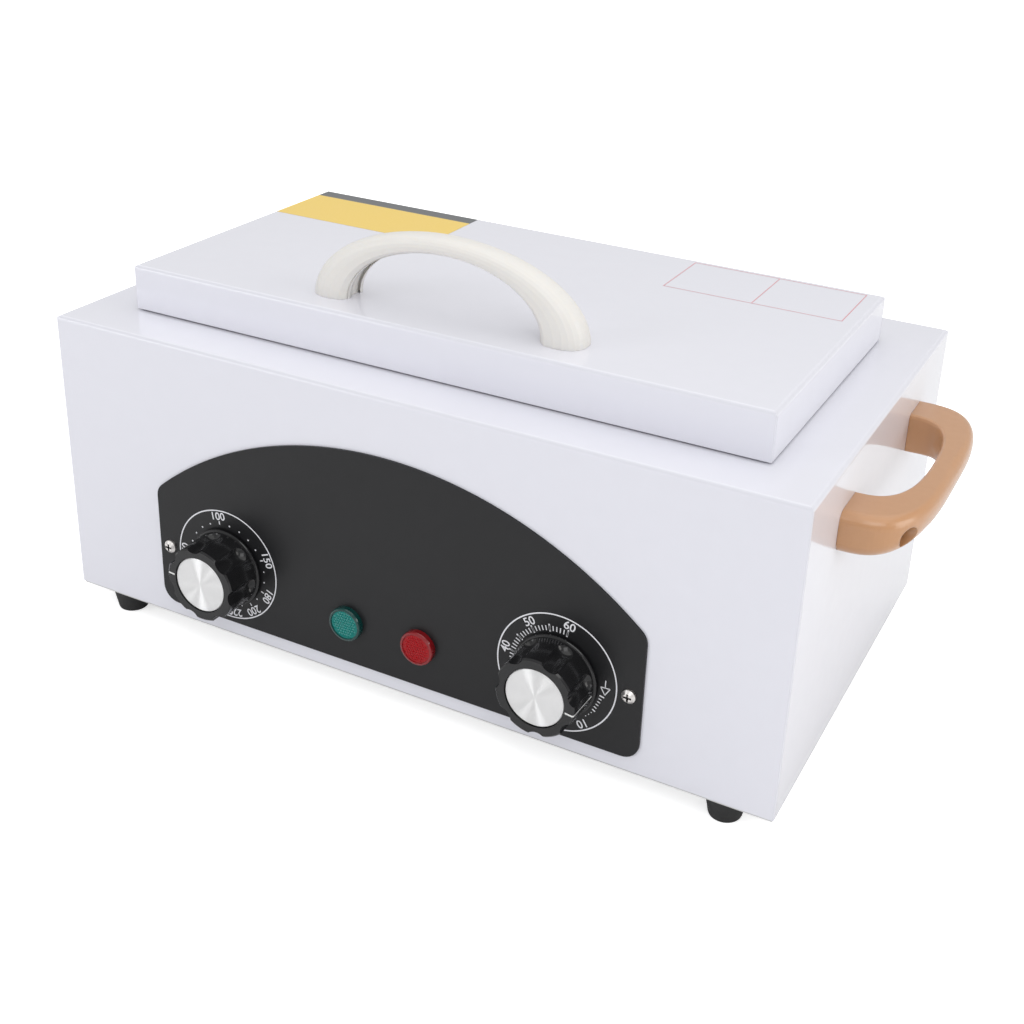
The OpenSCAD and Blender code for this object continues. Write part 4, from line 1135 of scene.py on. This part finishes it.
@dataclass
class Dial(Assembly):
    """One control: its knob, cap and shaft, its printed scale and its pointer line, in millimetres.

    The pointer's paint is a strip of closed sections, each given by a radius, a height and half a width. On the
    knob's face and rim the height is a depth under the face. On its side it is counted from the knob's foot.
    """

    title: str = ""
    knob: str = ""
    cap: str = ""
    body: Body = Body.TEMPERATURE
    pointer: float = 0.0
    print_lift: float = 0.7
    ring: float = 27.45
    ring_line: float = 0.6
    numbers: tuple[tuple[str, float], ...] = ()
    number_radius: float = 24.35
    number_height: float = 3.9
    digits: Digits = Digits()
    runs: tuple[MarkRun, ...] = ()
    arrow: StartArrow | None = None
    paint: float = 0.24
    paint_face: tuple[Point, ...] = ((14.1, 0.12, 0.44), (17.45, 0.12, 0.44))
    paint_rim: tuple[Point, ...] = ((17.98, 0.75, 0.42), (18.0, 1.6, 0.15))
    paint_side: tuple[Point, ...] = ((18.2, 5.2, 0.15), (18.21, 4.3, 0.42), (18.22, 2.6, 0.44))

    def axis(self) -> Vector:
        """Return the knob's centre, on the plane of its skirt."""
        low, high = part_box(self.cap)
        return Vector(((low.x + high.x) / 2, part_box(self.knob)[1].y, (low.z + high.z) / 2))

    def print_scale(self) -> None:
        """Print the ring, the numbers and the marks on the panel."""
        axis = self.axis()
        centre = (axis.x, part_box("control_panel")[0].y - INK_LIFT, axis.z + self.print_lift * MM)
        half = self.ring_line / 2
        parts = [ring_print(centre, (self.ring - half) * MM, (self.ring + half) * MM)]
        parts += [self.digits.build(text, centre, self.number_radius * MM, angle, self.number_height * MM)
                  for text, angle in self.numbers]
        parts += [mark_run(run, centre, PRINT_WHITE) for run in self.runs]
        if self.arrow:
            parts += self.arrow.build(centre)
        finished(merged(f"{self.title}_scale_print", parts), PRINT_WHITE, Body.HOUSING)

    def paint_pointer(self) -> None:
        """Fill the pointer's groove with white paint, over the face and down the side."""
        axis = self.axis()
        height = (axis.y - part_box(self.knob)[0].y) / MM
        down, inward = Vector((0.0, 0.0, -self.paint)), Vector((-self.paint, 0.0, 0.0))
        sections = [(radius, height - depth, half, down) for radius, depth, half in self.paint_face]
        sections += [(radius, height - depth, half, inward) for radius, depth, half in self.paint_rim]
        sections += [(*section, inward) for section in self.paint_side]
        form = bmesh.new()
        rings = []
        for radius, rise, half, under in sections:
            left, right = Vector((radius, -half, rise)), Vector((radius, half, rise))
            rings.append([form.verts.new(corner * MM) for corner in (left, right, right + under, left + under)])
        bridged(form, rings)
        form.faces.new(rings[0])
        form.faces.new(rings[-1][::-1])
        bmesh.ops.recalc_face_normals(form, faces=form.faces)
        place = (Matrix.Translation(axis) @ Matrix.Rotation(math.radians(90), 4, "X")
                 @ Matrix.Rotation(math.radians(self.pointer), 4, "Z"))
        bmesh.ops.transform(form, matrix=place, verts=form.verts)
        finished(from_form(f"{self.title}_pointer_line", form), POINTER_WHITE, self.body)

    def dress(self) -> None:
        """Finish the nodes, with a cap whose rings are centred on this knob."""
        self.own[self.cap] = SpunMetal(f"spun_aluminium_{self.title}", FINISHES["spun_aluminium"].colour,
                                       centre=tuple(self.axis()))
        super().dress()

    def build(self) -> None:
        """Print the scale and paint the pointer."""
        self.print_scale()
        self.paint_pointer()


def temperature_dial() -> Dial:
    """Describe the left dial, which runs from 50 to 220 degrees.

    Returns:
        The dial.
    """
    dot, tick = MarkShape.DOT, MarkShape.TICK
    step, track = -15.4, 20.9
    return Dial(
        nodes=("temperature_knob", "temperature_knob_cap", "thermostat_shaft"),
        title="temperature", knob="temperature_knob", cap="temperature_knob_cap", body=Body.TEMPERATURE,
        pointer=174.0,
        numbers=(("50", 176.0), ("100", 99.8), ("150", 21.9), ("180", -23.6), ("200", -55.2), ("220", -83.0)),
        runs=(MarkRun(dot, 98.9 - 4 * step, step, 4, track, 0, 0.42),
              MarkRun(dot, 98.9 + step, step, 4, track, 0, 0.42),
              MarkRun(dot, 22.2 + step, step, 2, track, 0, 0.38),
              MarkRun(dot, -23.8 + step, step, 1, track, 0, 0.36),
              MarkRun(dot, -54.0 + step, step, 1, track, 0, 0.33),
              MarkRun(tick, 98.9, -76.7, 2, 21.3, 1.7, 0.62),
              MarkRun(tick, -23.8, -30.2, 3, 21.3, 1.5, 0.62)))


def timer_dial() -> Dial:
    """Describe the right dial, which runs from 0 to 60 minutes.

    Returns:
        The dial.
    """
    dot, tick = MarkShape.DOT, MarkShape.TICK
    minute, start, hour = -4.55, -11.6, 78.1
    return Dial(
        nodes=("timer_knob", "timer_knob_cap", "timer_shaft"),
        title="timer", knob="timer_knob", cap="timer_knob_cap", body=Body.TIMER,
        pointer=-8.0,
        arrow=StartArrow(),
        numbers=(("10", -57.6), ("20", -102.5), ("30", -147.5), ("40", 168.2), ("50", 123.0), ("60", hour)),
        runs=(MarkRun(tick, hour - 27 * minute, minute, 28, 20.75, 2.3, 0.5),
              MarkRun(tick, hour - 25 * minute, 5 * minute, 6, 20.9, 3.5, 0.72),
              MarkRun(tick, start, minute, 1, 21.6, 2.2, 0.66),
              MarkRun(tick, start + minute, minute, 4, 21.3, 1.4, 0.5),
              MarkRun(tick, start + 5 * minute, minute, 1, 21.7, 1.6, 0.6),
              MarkRun(dot, start + 6 * minute, minute, 3, 21.75, 0, 0.27)))


# Studio


@dataclass(frozen=True)
class SoftLight:
    """One soft box, aimed at the object."""

    name: str
    place: Point
    width: float
    power: float
    tint: Colour = WHITE

    def build(self, target: Point) -> bpy.types.Object:
        """Make the lamp and aim it.

        Args:
            target: The point that it shines at.

        Returns:
            The lamp.
        """
        lamp = bpy.data.lights.new(self.name, "AREA")
        lamp.shape = "SQUARE"
        lamp.size = self.width
        lamp.energy = self.power
        lamp.color = self.tint
        made = bpy.data.objects.new(self.name, lamp)
        made.location = self.place
        made.rotation_euler = (Vector(target) - Vector(self.place)).to_track_quat("-Z", "Y").to_euler()
        bpy.context.scene.collection.objects.link(made)
        return made


@dataclass
class Studio:
    """A pale floor, soft light and the camera of the photograph."""

    sky: Colour = (0.99, 0.995, 1.0)
    ambient: float = 0.595
    floor_colour: Colour = (0.86, 0.86, 0.865)
    floor_lift: float = 0.62
    floor_radius: float = 7.0
    floor_cloud: float = 0.995
    eye: Point = (0.29393, -0.55615, 0.39100)
    ahead: Point = (-0.4055, 0.8193, -0.4053)
    above: Point = (-0.2174, 0.3442, 0.9134)
    lens: float = 50.74
    shift: tuple[float, float] = (-0.0273, -0.1045)
    target: Point = (0.0, 0.0, 0.08)
    lights: tuple[SoftLight, ...] = (
        SoftLight("key_light", (0.9, -1.5, 1.9), 1.5, 13.6),
        SoftLight("top_light", (-0.2, 0.3, 2.2), 3.0, 20.5, (1.0, 0.995, 0.975)),
        SoftLight("side_light", (2.2, 0.2, 0.8), 1.4, 15.0, (1.0, 0.99, 0.955)),
        SoftLight("front_fill", (-1.6, -1.8, 0.9), 1.0, 9.0, (0.98, 0.985, 1.0)),
    )

    def build_world(self) -> None:
        """Light the object evenly, and show white to the camera, also through clear pieces."""
        world = bpy.data.worlds.new("studio")
        bpy.context.scene.world = world
        world.use_nodes = True
        world.node_tree.nodes.clear()
        tools = NodeTools(world.node_tree)
        path = tools.node("ShaderNodeLightPath").outputs
        soft = tools.node("ShaderNodeBackground", {"Color": rgba(self.sky), "Strength": self.ambient})
        bright = tools.node("ShaderNodeBackground", {"Color": rgba(WHITE), "Strength": 1.0})
        seen = tools.maths("MAXIMUM", path["Is Camera Ray"], path["Is Transmission Ray"])
        mix = tools.node("ShaderNodeMixShader", {0: seen, 1: soft.outputs[0], 2: bright.outputs[0]})
        tools.node("ShaderNodeOutputWorld", {"Surface": mix.outputs[0]})

    def build_floor(self) -> None:
        """Lay a wide pale floor that keeps the object's shadow, and looks white to the camera."""
        form = bmesh.new()
        bmesh.ops.create_circle(form, cap_ends=True, cap_tris=False, segments=96, radius=self.floor_radius)
        floor = from_form("floor", form)
        sheet = Sheet("pale_floor")
        cloud = sheet.mixed(sheet.noise(scale=3.0), scaled(self.floor_colour, self.floor_cloud), self.floor_colour)
        sheet.surface(Base_Color=cloud, Roughness=0.9, Specular_IOR_Level=0.1)
        seen = sheet.node("ShaderNodeLightPath").outputs["Is Camera Ray"]
        glow = sheet.node("ShaderNodeEmission", {"Strength": sheet.maths("MULTIPLY", seen, self.floor_lift)})
        both = sheet.node("ShaderNodeAddShader", {0: sheet.shader.outputs[0], 1: glow.outputs[0]})
        sheet.feed(sheet.tree.nodes["Material Output"].inputs["Surface"], both.outputs[0])
        floor.data.materials.append(sheet.material)

    def build_camera(self) -> None:
        """Set the camera where the photograph was taken from."""
        camera = bpy.data.cameras.new("camera")
        camera.sensor_width = 36.0
        camera.lens = self.lens
        camera.shift_x, camera.shift_y = self.shift
        camera.clip_start = 10.0 * MM
        ahead = Vector(self.ahead).normalized()
        right = ahead.cross(Vector(self.above)).normalized()
        turn = Matrix((right, right.cross(ahead), -ahead)).transposed().to_4x4()
        made = bpy.data.objects.new("camera", camera)
        made.matrix_world = Matrix.Translation(self.eye) @ turn
        bpy.context.scene.collection.objects.link(made)
        bpy.context.scene.camera = made

    def build(self) -> None:
        """Set up the world, floor, lights and camera."""
        bpy.context.scene.view_settings.view_transform = "Standard"
        self.build_world()
        self.build_floor()
        for light in self.lights:
            light.build(self.target)
        self.build_camera()


def main() -> None:
    """Build every assembly in order, then the studio."""
    assemblies = (Housing(), CarryingHandles(), Chamber(), Hinges(), Lid(), FrontPanel(),
                  LampLens(node="green_lens", face=GREEN_FACE), LampLens(node="red_lens", face=RED_FACE),
                  temperature_dial(), timer_dial())
    for assembly in assemblies:
        assembly.dress()
        assembly.build()
    Studio().build()


if __name__ == "__main__":
    main()
